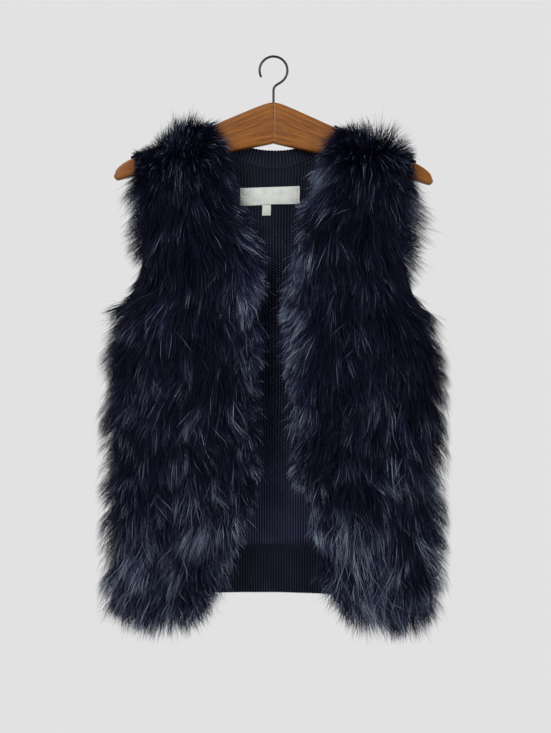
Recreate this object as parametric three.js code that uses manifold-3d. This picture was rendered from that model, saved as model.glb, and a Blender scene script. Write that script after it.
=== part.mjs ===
// A long-pile faux fur vest with a rib knit back, hanging open on a wooden hanger.
// Millimetres, +Z up, the front of the vest faces -Y. The origin is the top inside of the hook, where a rail
// carries it. "Left" and "right" are as seen from the front.
import * as THREE from 'three';
import { mergeVertices } from 'three/addons/utils/BufferGeometryUtils.js';
import Module from 'manifold-3d';

const wasm = await Module();
wasm.setup();

// Hanger
const HANGER_WIDTH = 430;
const HANGER_THICK = 13;
const HANGER_EDGE_ROUND = 5.5;
const HANGER_TOP_DROP = 62; // hang point down to the top of the wood
const HANGER_PEAK_ROUND = 10;
const HANGER_TOP_SLOPE = 0.45;
const HANGER_UNDER_DROP = 113.8; // hang point down to the notch under the middle
const HANGER_UNDER_SLOPE = 0.25;
const HANGER_UNDER_CURVE = 7; // how far the tips droop below that slope
const HANGER_TIP_ROUND = 25;
const HANGER_TIP_LEAST = 5;
const HANGER_TIP_THIN = 0.35; // share of its thickness that the wood loses at the tip
const HANGER_FLAT = 0.4; // half the least flat left between two rounded edges
const HANGER_BOW = 14; // how far the tips stand forward of the middle
const BOW_LOST = 0.7; // share of that bow that the cloth loses on its way down
const BOW_LOST_FROM = 170;
const BOW_LOST_AT = 420;
const HOOK_WIRE = 3.2;
const HOOK_RADIUS = 19; // to the middle of the wire
const HOOK_OPEN_ANGLE = 205;
const HOOK_CLOSE_ANGLE = -50;
const HOOK_NECK_DROP = 28; // middle of the hook's curl down to the straight stem
const HOOK_NECK_EASE = 8;
const STEM_SUNK = 20;
const BORE_PLAY = 0.45;
const TILT = 0.015; // the hanger hangs a little low on its right

// Cloth
const SEAM_GAP = 0.3;
const KNIT_THICK = 2.4;
const FUR_BACKING = 1.2;
const EDGE_GAP = 0.6; // between the back and the bands sewn to its edges
const HEM_RIB_PITCH = 5.2;
const NECK_RIB_PITCH = 5.6;
const RIB_DEPTH = 0.6;
const RIB_WALL = 2;
const RIB_SET_OUT = 0.5;
const SHOULDER_NECK = 92; // middle of the vest out to the neck end of the shoulder seam
const SHOULDER_TIP = 184;
const SHOULDER_LIFT = 2.2; // cloth above the wood
const SHOULDER_TURN = 9; // height over which the cloth turns over the wood
const OVER_SHOULDER_DROP = 150;
const SECTION_POWER = 3; // how square the sides of the hanging vest are
const UNDERARM_DROP = 345;
const CORNER_DROP = 722; // lower front corner, where its round starts
const SIDE_HEM_DROP = 731;
const HEM_DIP = 17;
const HEM_CURVE = 0.8;
const HEM_DIP_START = 0.8; // share of the length where the rows start to follow the hem's curve
const RIB_HEM_TOP = 671;
const RIB_HEM_FOOT = 735;
const NECK_RIB_HEIGHT = 22.5;
const NECK_RIB_FOOT_DROP = 147; // at the middle of the back
const NECK_RIB_IN = 10; // how much nearer to the middle the top edge ends
const NECK_END = 93; // where neckline and shoulder seam meet
const NECK_CURVE = 2.1;
const NECK_TOP_CURVE = 2.6;
const ARMHOLE_RIB_WIDTH = 9;
const ARMHOLE_RIB_SHARE = 0.955; // of the back's armhole, down from the shoulder
const ARMHOLE_RIB_TURN = 0.15; // share of the band over which each end turns
const UP_THE_SIDE = new THREE.Vector2(0.5, 0.9);
const LABEL = { across: 82, tall: 24, middle: -5.3, topDrop: 175.6, thick: 0.6, lift: 1.4, slope: 0.03 };
const SIZE_TAB = { across: 12, tall: 18, middle: -9.9, topDrop: 196.6, thick: 0.5, lift: 0.4, slope: 0.03 };

// Cloth edges, by the drop below the hang point: the front edges' distance from the middle, how far the gap
// between them lies to the right, and the armhole edges' distance from the middle.
const FRONT_EDGE = [
  { drop: 97, out: 92, shift: 1 },
  { drop: 122, out: 80, shift: 3 },
  { drop: 136, out: 76, shift: 2 },
  { drop: 175, out: 66, shift: 1 },
  { drop: 202, out: 56, shift: -2 },
  { drop: 228, out: 47, shift: -2 },
  { drop: 255, out: 36, shift: 2 },
  { drop: 281, out: 30, shift: 1 },
  { drop: 334, out: 27, shift: 1 },
  { drop: 400, out: 27, shift: 0 },
  { drop: 466, out: 33, shift: 0 },
  { drop: 532, out: 37, shift: 4 },
  { drop: 598, out: 44, shift: 6 },
  { drop: 624, out: 49, shift: 6 },
  { drop: 677, out: 64, shift: 1 },
  { drop: 700, out: 74, shift: 2 },
  { drop: 722, out: 88, shift: 2 },
];
const ARMHOLE_EDGE = [
  { drop: 138, out: 184 },
  { drop: 165, out: 177 },
  { drop: 200, out: 171 },
  { drop: 240, out: 168 },
  { drop: 275, out: 169 },
  { drop: 300, out: 174 },
  { drop: 320, out: 181 },
  { drop: 334, out: 188 },
  { drop: 345, out: 195 },
];

// The hollow of the hanging vest: half its width at the side seams, and its depth before and behind them.
const HOLLOW = [
  { drop: 97, half: 320, front: 8.6, back: 8.6 },
  { drop: 180, half: 280, front: 10, back: 9.5 },
  { drop: 260, half: 230, front: 19, back: 14 },
  { drop: 345, half: 196, front: 27, back: 18 },
  { drop: 413, half: 202, front: 31, back: 20 },
  { drop: 480, half: 205, front: 33, back: 21 },
  { drop: 549, half: 201, front: 32, back: 21 },
  { drop: 620, half: 200, front: 31, back: 20 },
  { drop: 742, half: 197, front: 30, back: 20 },
];

// Soft vertical folds: where each runs, how wide and deep it is, and the drops between which it fades in.
// A positive depth moves the cloth away from the hollow.
const FRONT_FOLDS = [
  { across: 62, wide: 17, deep: -4, from: 400, full: 520 },
  { across: 112, wide: 24, deep: 4, from: 380, full: 560 },
  { across: 158, wide: 16, deep: -3.5, from: 430, full: 600 },
];
const BACK_FOLDS = [
  { across: -136, wide: 24, deep: 4, from: 330, full: 600 },
  { across: -72, wide: 20, deep: -3.5, from: 420, full: 640 },
  { across: 8, wide: 26, deep: 3, from: 380, full: 620 },
  { across: 84, wide: 19, deep: -4, from: 360, full: 600 },
  { across: 146, wide: 22, deep: 3.5, from: 400, full: 640 },
];

// The pile, by the share of the way from shoulder to hem: how high it stands, and how far it hangs past the
// front edge on one side and past the armhole and the side seam on the other.
const PILE = [
  { down: 0, high: 24, pastFront: 6, pastSide: 5 },
  { down: 0.04, high: 25, pastFront: 10, pastSide: 8 },
  { down: 0.12, high: 23, pastFront: 17, pastSide: 15 },
  { down: 0.2, high: 21, pastFront: 18, pastSide: 20 },
  { down: 0.27, high: 19, pastFront: 17, pastSide: 16 },
  { down: 0.32, high: 17, pastFront: 17, pastSide: 9 },
  { down: 0.37, high: 16, pastFront: 17, pastSide: 6 },
  { down: 0.42, high: 20, pastFront: 17, pastSide: 7 },
  { down: 0.6, high: 22, pastFront: 17, pastSide: 6 },
  { down: 0.85, high: 22, pastFront: 18, pastSide: 6 },
  { down: 1, high: 20, pastFront: 22, pastSide: 6 },
];
const PAST_HEM = 21;
// How far the pile stands up past the shoulder seam, by the share of the way out along it.
const SHOULDER_PILE = [
  { out: 0, reach: 8 },
  { out: 0.2, reach: 20 },
  { out: 0.62, reach: 13 },
  { out: 0.86, reach: 8 },
  { out: 1, reach: 3 },
];
// How the pile rolls round an edge: share of the rolled strip, reach past the edge, and height.
const ROLL = [
  { strip: 0, past: 0, high: 0 },
  { strip: 0.08, past: 0.04, high: 0.22 },
  { strip: 0.22, past: 0.7, high: 0.4 },
  { strip: 0.42, past: 1, high: 0.63 },
  { strip: 0.68, past: 0.55, high: 0.88 },
  { strip: 1, past: 0, high: 1 },
];
const CORNER_ROLL = 0.85; // how square the pile keeps the corners; 0 is square
const ROLL_ACROSS = 0.09; // share of a row that rolls at each end
const ROLL_DOWN = 0.03; // share of the length that rolls at the shoulder and at the hem
// Locks of pile: their spacing, size and relief, and how much those at an edge spread its outline.
const LOCK = { across: 24, down: 42, length: 66, half: 17, taper: 0.6, crest: 0.8, fall: 0.14, jitter: 0.75 };
const LOCK_RELIEF = { high: 9, base: 4.5, spread: 0.55 };

// Steps across and down a front, dense where the pile rolls and where cloth turns over the wood.
const EDGE_SHARES = [0, 0.008, 0.02, 0.038, 0.063, 0.09];
const MIDDLE_STEPS = 16;
const TOP_STEPS = [0, 1.2, 2.5, 4, 6, 9, 13, 18.5, 27];
const FOOT_STEPS = [27, 18.5, 12, 7, 3, 0];
const LENGTH_STEPS = 47;
const BACK_STEPS_DOWN = [0, 2.5, 6, 13, 24, 40, 62];
const ARMHOLE_SHARES = [0.18, 0.36, 0.54, 0.7, 0.82, 0.9, 0.96, 1];
const BACK_BODY_STEPS = 12;
const BACK_COLUMNS = [0, 18, 36, 54, 70, 81, 87, 91, NECK_END, 105, 124, 144, 161, 174, SHOULDER_TIP];

const lerp = THREE.MathUtils.lerp;
const clamp = THREE.MathUtils.clamp;
const smooth = THREE.MathUtils.smoothstep;

/** A smooth curve through two columns of a table, without overshoot, level past its ends. */
function column(table, atKey, valueKey) {
  const at = table.map((row) => row[atKey]);
  const value = table.map((row) => row[valueKey]);
  const grade = at.slice(1).map((a, i) => (value[i + 1] - value[i]) / (a - at[i]));
  const slope = at.map((_, i) => {
    if (i === 0 || i === at.length - 1 || grade[i - 1] * grade[i] <= 0) return 0;
    return (2 * grade[i - 1] * grade[i]) / (grade[i - 1] + grade[i]);
  });
  return (x) => {
    const last = at.length - 1;
    const i = clamp(at.findIndex((a) => a > x) - 1, 0, last - 1);
    if (x <= at[0]) return value[0];
    if (x >= at[last]) return value[last];
    const span = at[i + 1] - at[i];
    const t = (x - at[i]) / span;
    const rise = value[i + 1] - value[i];
    const a = span * slope[i] - rise;
    const b = rise - span * slope[i + 1];
    return lerp(value[i], value[i + 1], t) + t * (1 - t) * (a * (1 - t) + b * t);
  };
}

const frontEdgeOut = column(FRONT_EDGE, 'drop', 'out');
const frontEdgeShift = column(FRONT_EDGE, 'drop', 'shift');
const armholeOut = column(ARMHOLE_EDGE, 'drop', 'out');
const hollowHalf = column(HOLLOW, 'drop', 'half');
const hollowFront = column(HOLLOW, 'drop', 'front');
const hollowBack = column(HOLLOW, 'drop', 'back');
const pileHigh = column(PILE, 'down', 'high');
const pilePastFront = column(PILE, 'down', 'pastFront');
const pilePastSide = column(PILE, 'down', 'pastSide');
const rollPast = column(ROLL, 'strip', 'past');
const rollHigh = column(ROLL, 'strip', 'high');
const shoulderPile = column(SHOULDER_PILE, 'out', 'reach');

/** A repeatable number from 0 to 1 for a pair of whole numbers. */
function chance(a, b) {
  const s = Math.sin(a * 127.1 + b * 311.7) * 43758.5453;
  return s - Math.floor(s);
}

/** Top edge of the wood, at a distance from the middle. */
function woodTop(x) {
  const run = Math.hypot(x, HANGER_PEAK_ROUND) - HANGER_PEAK_ROUND;
  return -HANGER_TOP_DROP - HANGER_TOP_SLOPE * run;
}

/** Line of the shoulder seam, just over the wood. */
const shoulderLine = (x) => woodTop(x) + SHOULDER_LIFT;

/** Middle plane of hanger and vest: the tips and shoulders stand forward, the body hangs straight. */
function middlePlane(x, z) {
  const held = 1 - BOW_LOST * smooth(-z, BOW_LOST_FROM, BOW_LOST_AT);
  return -HANGER_BOW * (x / (HANGER_WIDTH / 2)) ** 2 * held;
}

function foldAt(folds, x, z) {
  return folds.reduce((sum, fold) => {
    const bell = Math.exp(-(((x - fold.across) / fold.wide) ** 2));
    return sum + fold.deep * bell * smooth(-z, fold.from, fold.full);
  }, 0);
}

/** The cloth's plane on one face of the hollow, front or back, at a place seen from the front. */
function hollowPoint(x, z, face) {
  const ratio = Math.min(1, Math.abs(x) / hollowHalf(-z));
  const side = (1 - ratio ** SECTION_POWER) ** (1 / SECTION_POWER);
  const below = clamp((shoulderLine(Math.abs(x)) - z) / SHOULDER_TURN, 0, 1);
  const turn = Math.sqrt(1 - (1 - below) ** 2);
  const depth = face === 'front' ? hollowFront(-z) : hollowBack(-z);
  const fold = face === 'front' ? foldAt(FRONT_FOLDS, Math.abs(x), z) : foldAt(BACK_FOLDS, x, z);
  const away = Math.max(depth * turn, SEAM_GAP / 2) + fold * turn;
  const y = middlePlane(x, z) + (face === 'front' ? -1 : 1) * Math.max(away * side, SEAM_GAP / 2);
  return new THREE.Vector3(x, y, z);
}

/** The outer end of a row of cloth: the armhole, or the side seam below it. */
function outerEnd(z) {
  return -z < UNDERARM_DROP ? armholeOut(-z) : hollowHalf(-z);
}

/** Evenly spaced places along a path that is given as a function of 0 to 1. */
function evenly(path, shares, samples = 160) {
  const points = Array.from({ length: samples + 1 }, (_, i) => path(i / samples));
  const along = [0];
  for (let i = 1; i <= samples; i++) along.push(along[i - 1] + points[i].distanceTo(points[i - 1]));
  return shares.map((share) => {
    const want = share * along[samples];
    const i = clamp(along.findIndex((a) => a >= want), 1, samples);
    const t = (want - along[i - 1]) / Math.max(along[i] - along[i - 1], 1e-9);
    return points[i - 1].clone().lerp(points[i], t);
  });
}

/** Unit directions on a grid of points: along its rows, down its columns, and out of its face. */
function directions(rows, j, i, outward) {
  const at = (b, a) => rows[clamp(b, 0, rows.length - 1)][clamp(a, 0, rows[0].length - 1)];
  const across = at(j, i + 1).clone().sub(at(j, i - 1)).normalize();
  const down = at(j + 1, i).clone().sub(at(j - 1, i)).normalize();
  const out = across.clone().cross(down).normalize();
  if (out.dot(outward) < 0) out.negate();
  return { across, down, out };
}

/** Moves each point of a grid along its face's direction. */
function offset(rows, outward, amount) {
  return rows.map((row, j) =>
    row.map((point, i) => {
      const { out } = directions(rows, j, i, outward(point));
      return point.clone().addScaledVector(out, amount(j, i));
    }),
  );
}

const tilted = (rows) => rows.map((row) => row.map((p) => new THREE.Vector3(p.x, p.y, p.z - TILT * p.x)));

/** A closed geometry from points and triangles, turned so that its faces point out. */
function closedGeometry(points, faces) {
  const volume = faces.reduce((sum, [a, b, c]) => {
    return sum + points[a].dot(points[b].clone().cross(points[c]));
  }, 0);
  const turned = volume < 0 ? faces.map(([a, b, c]) => [a, c, b]) : faces;
  const geometry = new THREE.BufferGeometry();
  geometry.setAttribute('position', new THREE.Float32BufferAttribute(points.flatMap((p) => p.toArray()), 3));
  geometry.setIndex(turned.flat());
  geometry.computeVertexNormals();
  return geometry;
}

/** A wall between two grids. The inner one may be coarser, by whole numbers across and down. */
function wallBetween(outer, inner) {
  const points = [...outer.flat(), ...inner.flat()];
  const faces = [];
  const wide = outer[0].length;
  const innerWide = inner[0].length;
  const outerAt = (j, i) => j * wide + i;
  const innerAt = (j, i) => outer.length * wide + j * innerWide + i;
  for (let j = 0; j + 1 < outer.length; j++) {
    for (let i = 0; i + 1 < wide; i++) {
      faces.push([outerAt(j, i), outerAt(j, i + 1), outerAt(j + 1, i + 1)]);
      faces.push([outerAt(j, i), outerAt(j + 1, i + 1), outerAt(j + 1, i)]);
    }
  }
  for (let j = 0; j + 1 < inner.length; j++) {
    for (let i = 0; i + 1 < innerWide; i++) {
      faces.push([innerAt(j, i), innerAt(j + 1, i + 1), innerAt(j, i + 1)]);
      faces.push([innerAt(j, i), innerAt(j + 1, i), innerAt(j + 1, i + 1)]);
    }
  }
  const span = (n) => Array.from({ length: n }, (_, k) => k);
  const rim = (outerSide, innerSide) => {
    const ratio = (outerSide.length - 1) / (innerSide.length - 1);
    for (let m = 0; m + 1 < innerSide.length; m++) {
      const [a, b] = [innerSide[m], innerSide[m + 1]];
      for (let s = 0; s < ratio; s++) {
        const o = m * ratio + s;
        faces.push([outerSide[o + 1], outerSide[o], s < ratio / 2 ? a : b]);
      }
      faces.push([outerSide[m * ratio + Math.ceil(ratio / 2)], a, b]);
    }
  };
  const lastOuter = [outer.length - 1, wide - 1];
  const lastInner = [inner.length - 1, innerWide - 1];
  rim(span(wide).map((i) => outerAt(0, i)), span(innerWide).map((i) => innerAt(0, i)));
  rim(
    span(outer.length).map((j) => outerAt(j, lastOuter[1])),
    span(inner.length).map((j) => innerAt(j, lastInner[1])),
  );
  rim(
    span(wide).map((i) => outerAt(lastOuter[0], lastOuter[1] - i)),
    span(innerWide).map((i) => innerAt(lastInner[0], lastInner[1] - i)),
  );
  rim(
    span(outer.length).map((j) => outerAt(lastOuter[0] - j, 0)),
    span(inner.length).map((j) => innerAt(lastInner[0] - j, 0)),
  );
  return closedGeometry(points, faces);
}

/** A solid through rings of points, closed flat at both ends. */
function loft(rings) {
  const count = rings[0].length;
  const faces = [];
  for (let j = 0; j + 1 < rings.length; j++) {
    for (let i = 0; i < count; i++) {
      const next = (i + 1) % count;
      faces.push([j * count + i, j * count + next, (j + 1) * count + next]);
      faces.push([j * count + i, (j + 1) * count + next, (j + 1) * count + i]);
    }
  }
  const last = (rings.length - 1) * count;
  for (let i = 1; i + 1 < count; i++) {
    faces.push([0, i + 1, i]);
    faces.push([last, last + i, last + i + 1]);
  }
  return closedGeometry(rings.flat(), faces);
}

/** One face of a faux fur front: rows of the backing cloth from the front edge to the side. */
function frontRows(side, shares, steps) {
  const neckZ = shoulderLine(SHOULDER_NECK);
  const tipZ = shoulderLine(SHOULDER_TIP);
  const length = CORNER_DROP + neckZ;
  const sideLength = SIDE_HEM_DROP + tipZ;
  return steps.map((down) => {
    const share = down / length;
    const innerZ = neckZ - down;
    const outerZ = tipZ - share * sideLength;
    const inner = frontEdgeOut(-innerZ) + side * frontEdgeShift(-innerZ);
    const outer = outerEnd(outerZ);
    const row = evenly((w) => {
      const across = Math.sin((w * Math.PI) / 2);
      const dip = HEM_DIP * Math.sin(Math.PI * across) ** HEM_CURVE * smooth(share, HEM_DIP_START, 1);
      const x = lerp(inner, outer, across);
      const z = lerp(innerZ, outerZ, across) - dip;
      return hollowPoint(x, share === 0 ? shoulderLine(x) : z, 'front');
    }, shares);
    return row.map((p) => new THREE.Vector3(side * p.x, p.y, p.z));
  });
}

/** Height of the pile's locks at a place: they lie over each other, each swelling down to a blunt tip. */
function lockHeight(across, down, seed) {
  let highest = 0;
  const column = Math.floor(across / LOCK.across);
  const tier = Math.floor(down / LOCK.down);
  for (let c = column - 1; c <= column + 1; c++) {
    for (let t = tier - 2; t <= tier + 1; t++) {
      const stagger = c % 2 === 0 ? 0 : 0.5;
      const middle = (c + 0.5 + LOCK.jitter * (chance(t + seed, c) - 0.5)) * LOCK.across;
      const root = (t + stagger + LOCK.jitter * (chance(c + seed, t) - 0.5)) * LOCK.down;
      const along = (down - root) / LOCK.length;
      if (along <= 0 || along >= 1) continue;
      const half = LOCK.half * (1 - LOCK.taper * along ** 2);
      const aside = Math.abs(across - middle) / half;
      if (aside >= 1) continue;
      const swell = Math.min(1, along / LOCK.crest) * Math.min(1, (1 - along) / LOCK.fall);
      highest = Math.max(highest, swell * (1 - aside ** 2) * (0.75 + 0.5 * chance(t, c + seed)));
    }
  }
  return LOCK_RELIEF.high * highest - LOCK_RELIEF.base;
}

/** Rough directions out of the front's and the back's outer faces: they lean out near the side seams, and up
 * where the cloth turns over the shoulder. */
const outOfFront = (p) => new THREE.Vector3(p.x, -250, p.z > -OVER_SHOULDER_DROP ? 100 : 0);
const outOfBack = (p) => new THREE.Vector3(p.x, 250, p.z > -OVER_SHOULDER_DROP ? 170 : 0);

/** A faux fur front: the backing cloth inside, and the pile's shape, with its locks, outside. */
function furFront(side) {
  const middle = Array.from({ length: MIDDLE_STEPS - 1 }, (_, i) => {
    return lerp(EDGE_SHARES.at(-1), 1 - EDGE_SHARES.at(-1), (i + 1) / MIDDLE_STEPS);
  });
  const shares = [...EDGE_SHARES, ...middle, ...EDGE_SHARES.map((s) => 1 - s).reverse()];
  const length = CORNER_DROP + shoulderLine(SHOULDER_NECK);
  const start = TOP_STEPS.at(-1);
  const stop = length - FOOT_STEPS[0];
  const body = Array.from({ length: LENGTH_STEPS - 1 }, (_, j) => lerp(start, stop, (j + 1) / LENGTH_STEPS));
  const steps = [...TOP_STEPS, ...body, ...FOOT_STEPS.map((s) => length - s)];
  const cloth = frontRows(side, shares, steps);
  const seed = side > 0 ? 3 : 11;

  const pile = cloth.map((row, j) => {
    const down = steps[j] / length;
    let rowLength = 0;
    for (let i = 1; i < row.length; i++) rowLength += row[i].distanceTo(row[i - 1]);
    return row.map((point, i) => {
      const { across, down: downward, out } = directions(cloth, j, i, outOfFront(point));
      const fromFront = Math.min(1, shares[i] / ROLL_ACROSS);
      const fromSide = Math.min(1, (1 - shares[i]) / ROLL_ACROSS);
      const fromTop = Math.min(1, down / ROLL_DOWN);
      const fromFoot = Math.min(1, (1 - down) / ROLL_DOWN);
      const lock = lockHeight(shares[i] * rowLength, steps[j], seed);
      const edgeLock = 1 + (LOCK_RELIEF.spread * lock) / LOCK_RELIEF.high;
      const rolled = rollHigh(fromFront) * rollHigh(fromSide) * rollHigh(fromTop) * rollHigh(fromFoot);
      const high = Math.max(FUR_BACKING, rolled * (pileHigh(down) + lock * smooth(down, 0, ROLL_DOWN)));
      const strip = { across: ROLL_ACROSS * rowLength, down: ROLL_DOWN * length };
      const past = (from, reach, wide, others) => {
        if (from <= 0 || from >= 1) return 0;
        return others ** CORNER_ROLL * (rollPast(from) * reach * edgeLock + from * wide);
      };
      const ends = rollHigh(fromTop) * rollHigh(fromFoot);
      const sides = rollHigh(fromFront) * rollHigh(fromSide);
      const moved = point.clone().addScaledVector(out, high);
      moved.addScaledVector(across, -past(fromFront, pilePastFront(down), strip.across, ends));
      moved.addScaledVector(across, past(fromSide, pilePastSide(down), strip.across, ends));
      moved.addScaledVector(downward, -past(fromTop, shoulderPile(shares[i]), strip.down, sides));
      moved.addScaledVector(downward, past(fromFoot, PAST_HEM, strip.down, sides));
      return moved;
    });
  });
  const inside = cloth.filter((_, j) => j % 2 === 0).map((row) => row.filter((_, i) => i % 2 === 0));
  return wallBetween(tilted(pile), tilted(inside));
}

/** The line between the neck rib and the back, from the middle out to the shoulder seams. */
function necklineZ(x, middleZ, end, curve) {
  return lerp(middleZ, shoulderLine(end), Math.min(1, Math.abs(x) / end) ** curve);
}

/** The top edge of the knit back: neckline in the middle, shoulder seams outside it. */
function backTopZ(x) {
  const shoulder = shoulderLine(Math.abs(x));
  return Math.abs(x) < NECK_END ? necklineZ(x, -NECK_RIB_FOOT_DROP, NECK_END, NECK_CURVE) : shoulder;
}

/** The inside of the knit back, row by row from its top edge to the hem rib. */
function backRows() {
  const across = [...BACK_COLUMNS.slice(1).map((x) => -x).reverse(), ...BACK_COLUMNS];
  const foot = -(RIB_HEM_TOP - EDGE_GAP);
  const armholeStart = BACK_STEPS_DOWN.at(-1);
  const place = (topX) => (z) => hollowPoint((topX / SHOULDER_TIP) * outerEnd(z), z, 'back');
  const topRow = across.map((x) => hollowPoint(x, backTopZ(x), 'back'));
  const shoulderRows = BACK_STEPS_DOWN.slice(1).map((down) => across.map((x) => place(x)(backTopZ(x) - down)));
  const armholeRows = ARMHOLE_SHARES.map((share) =>
    across.map((x) => place(x)(lerp(backTopZ(x) - armholeStart, -UNDERARM_DROP, share))),
  );
  const bodyRows = Array.from({ length: BACK_BODY_STEPS }, (_, j) =>
    across.map((x) => place(x)(lerp(-UNDERARM_DROP, foot, (j + 1) / BACK_BODY_STEPS))),
  );
  return [topRow, ...shoulderRows, ...armholeRows, ...bodyRows];
}

const BACK = backRows();

/** A band of rib: a strip between two edges, folded into fine ribs on both faces. */
function ribBand(count, lowerEdge, upperEdge) {
  const columns = 2 * count;
  const strip = [upperEdge, lowerEdge].map((edge) => {
    return Array.from({ length: columns + 1 }, (_, i) => edge(i / columns));
  });
  const wave = (i) => (i % 2 === 0 ? RIB_DEPTH : -RIB_DEPTH);
  const outer = offset(strip, outOfBack, (j, i) => RIB_SET_OUT + RIB_WALL + wave(i));
  const inner = offset(strip, outOfBack, (j, i) => RIB_SET_OUT + wave(i));
  return wallBetween(tilted(outer), tilted(inner));
}

/** Places along a line of points, by the share of its length. */
function alongLine(points, count) {
  const shares = Array.from({ length: count + 1 }, (_, i) => i / count);
  const last = points.length - 1;
  const path = (w) => {
    const i = Math.min(Math.floor(w * last), last - 1);
    return points[i].clone().lerp(points[i + 1], w * last - i);
  };
  const spaced = evenly(path, shares, last * 12);
  return (share) => spaced[Math.round(share * count)];
}

function hemRib() {
  const count = Math.round((2 * hollowHalf(RIB_HEM_FOOT)) / HEM_RIB_PITCH);
  const samples = Array.from({ length: 201 }, (_, i) => Math.sin((i / 200 - 0.5) * Math.PI));
  const edge = (z) => {
    const points = samples.map((s) => hollowPoint(s * hollowHalf(-z), z, 'back'));
    return alongLine(points, 2 * count);
  };
  return ribBand(count, edge(-RIB_HEM_FOOT), edge(-RIB_HEM_TOP));
}

function neckRib() {
  const neckline = BACK[0].filter((p) => Math.abs(p.x) <= NECK_END);
  const count = Math.round((2 * NECK_END) / NECK_RIB_PITCH);
  const lower = alongLine(neckline, 2 * count);
  const topEnd = NECK_END - NECK_RIB_IN;
  const upper = (share) => {
    const x = (lower(share).x / NECK_END) * topEnd;
    const z = necklineZ(x, NECK_RIB_HEIGHT - NECK_RIB_FOOT_DROP, topEnd, NECK_TOP_CURVE);
    return hollowPoint(x, z, 'back');
  };
  const raised = (share) => lower(share).add(new THREE.Vector3(0, 0, EDGE_GAP));
  return ribBand(count, raised, upper);
}

/** A narrow rib along the back's armhole, its ends turned along the shoulder seam and up the side. */
function armholeRib(side) {
  const column = side > 0 ? BACK[0].length - 1 : 0;
  const edge = BACK.map((row) => row[column]).filter((p) => -p.z < UNDERARM_DROP + 1);
  const length = edge.reduce((sum, p, i) => (i ? sum + p.distanceTo(edge[i - 1]) : 0), 0);
  const count = Math.round(length / NECK_RIB_PITCH);
  const whole = alongLine(edge, 200);
  const base = (share) => whole(share * ARMHOLE_RIB_SHARE);
  const reachOut = (share) => {
    const before = base(clamp(share - 1 / count, 0, 1));
    const after = base(clamp(share + 1 / count, 0, 1));
    const level = new THREE.Vector2(before.z - after.z, side * (after.x - before.x)).normalize();
    const alongShoulder = new THREE.Vector2(1, -HANGER_TOP_SLOPE).normalize();
    level.lerp(alongShoulder, 1 - smooth(share, 0, ARMHOLE_RIB_TURN));
    return level.lerp(UP_THE_SIDE, smooth(share, 1 - ARMHOLE_RIB_TURN, 1)).normalize();
  };
  const moved = (reach) => (share) => {
    const p = base(share);
    const out = reachOut(share).multiplyScalar(reach);
    return hollowPoint(p.x + side * out.x, p.z + out.y, 'back');
  };
  const near = (share) => {
    const p = base(share);
    const out = reachOut(share).multiplyScalar(EDGE_GAP);
    return new THREE.Vector3(p.x + side * out.x, p.y, p.z + out.y);
  };
  return ribBand(count, near, moved(EDGE_GAP + ARMHOLE_RIB_WIDTH));
}

function knitBack() {
  return wallBetween(tilted(offset(BACK, outOfBack, () => KNIT_THICK)), tilted(BACK));
}

/** A flat tag on the inside of the knit back, made from its points. */
function tag({ across, tall, middle, topDrop, thick, lift, slope }) {
  const columns = 8;
  const rows = 2;
  const cloth = Array.from({ length: rows + 1 }, (_, j) =>
    Array.from({ length: columns + 1 }, (_, i) => {
      const x = middle + across * (i / columns - 0.5);
      const z = -topDrop - (tall * j) / rows + slope * (x - middle) + TILT * middle;
      return hollowPoint(x, z, 'back');
    }),
  );
  const inward = () => new THREE.Vector3(0, -1, 0);
  const near = offset(cloth, inward, () => lift);
  const far = offset(cloth, inward, () => lift + thick);
  return wallBetween(tilted(far), tilted(near));
}

function toManifold(geometry) {
  const bare = new THREE.BufferGeometry();
  bare.setAttribute('position', geometry.getAttribute('position').clone());
  if (geometry.index) bare.setIndex(geometry.index.clone());
  const merged = mergeVertices(bare, 1e-4);
  return new wasm.Manifold(
    new wasm.Mesh({
      numProp: 3,
      vertProperties: new Float32Array(merged.getAttribute('position').array),
      triVerts: new Uint32Array(merged.index.array),
    }),
  );
}

function fromManifold(solid) {
  const mesh = solid.getMesh();
  const geometry = new THREE.BufferGeometry();
  geometry.setAttribute('position', new THREE.Float32BufferAttribute(mesh.vertProperties, 3));
  geometry.setIndex(new THREE.BufferAttribute(mesh.triVerts, 1));
  geometry.computeVertexNormals();
  return geometry;
}

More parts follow.
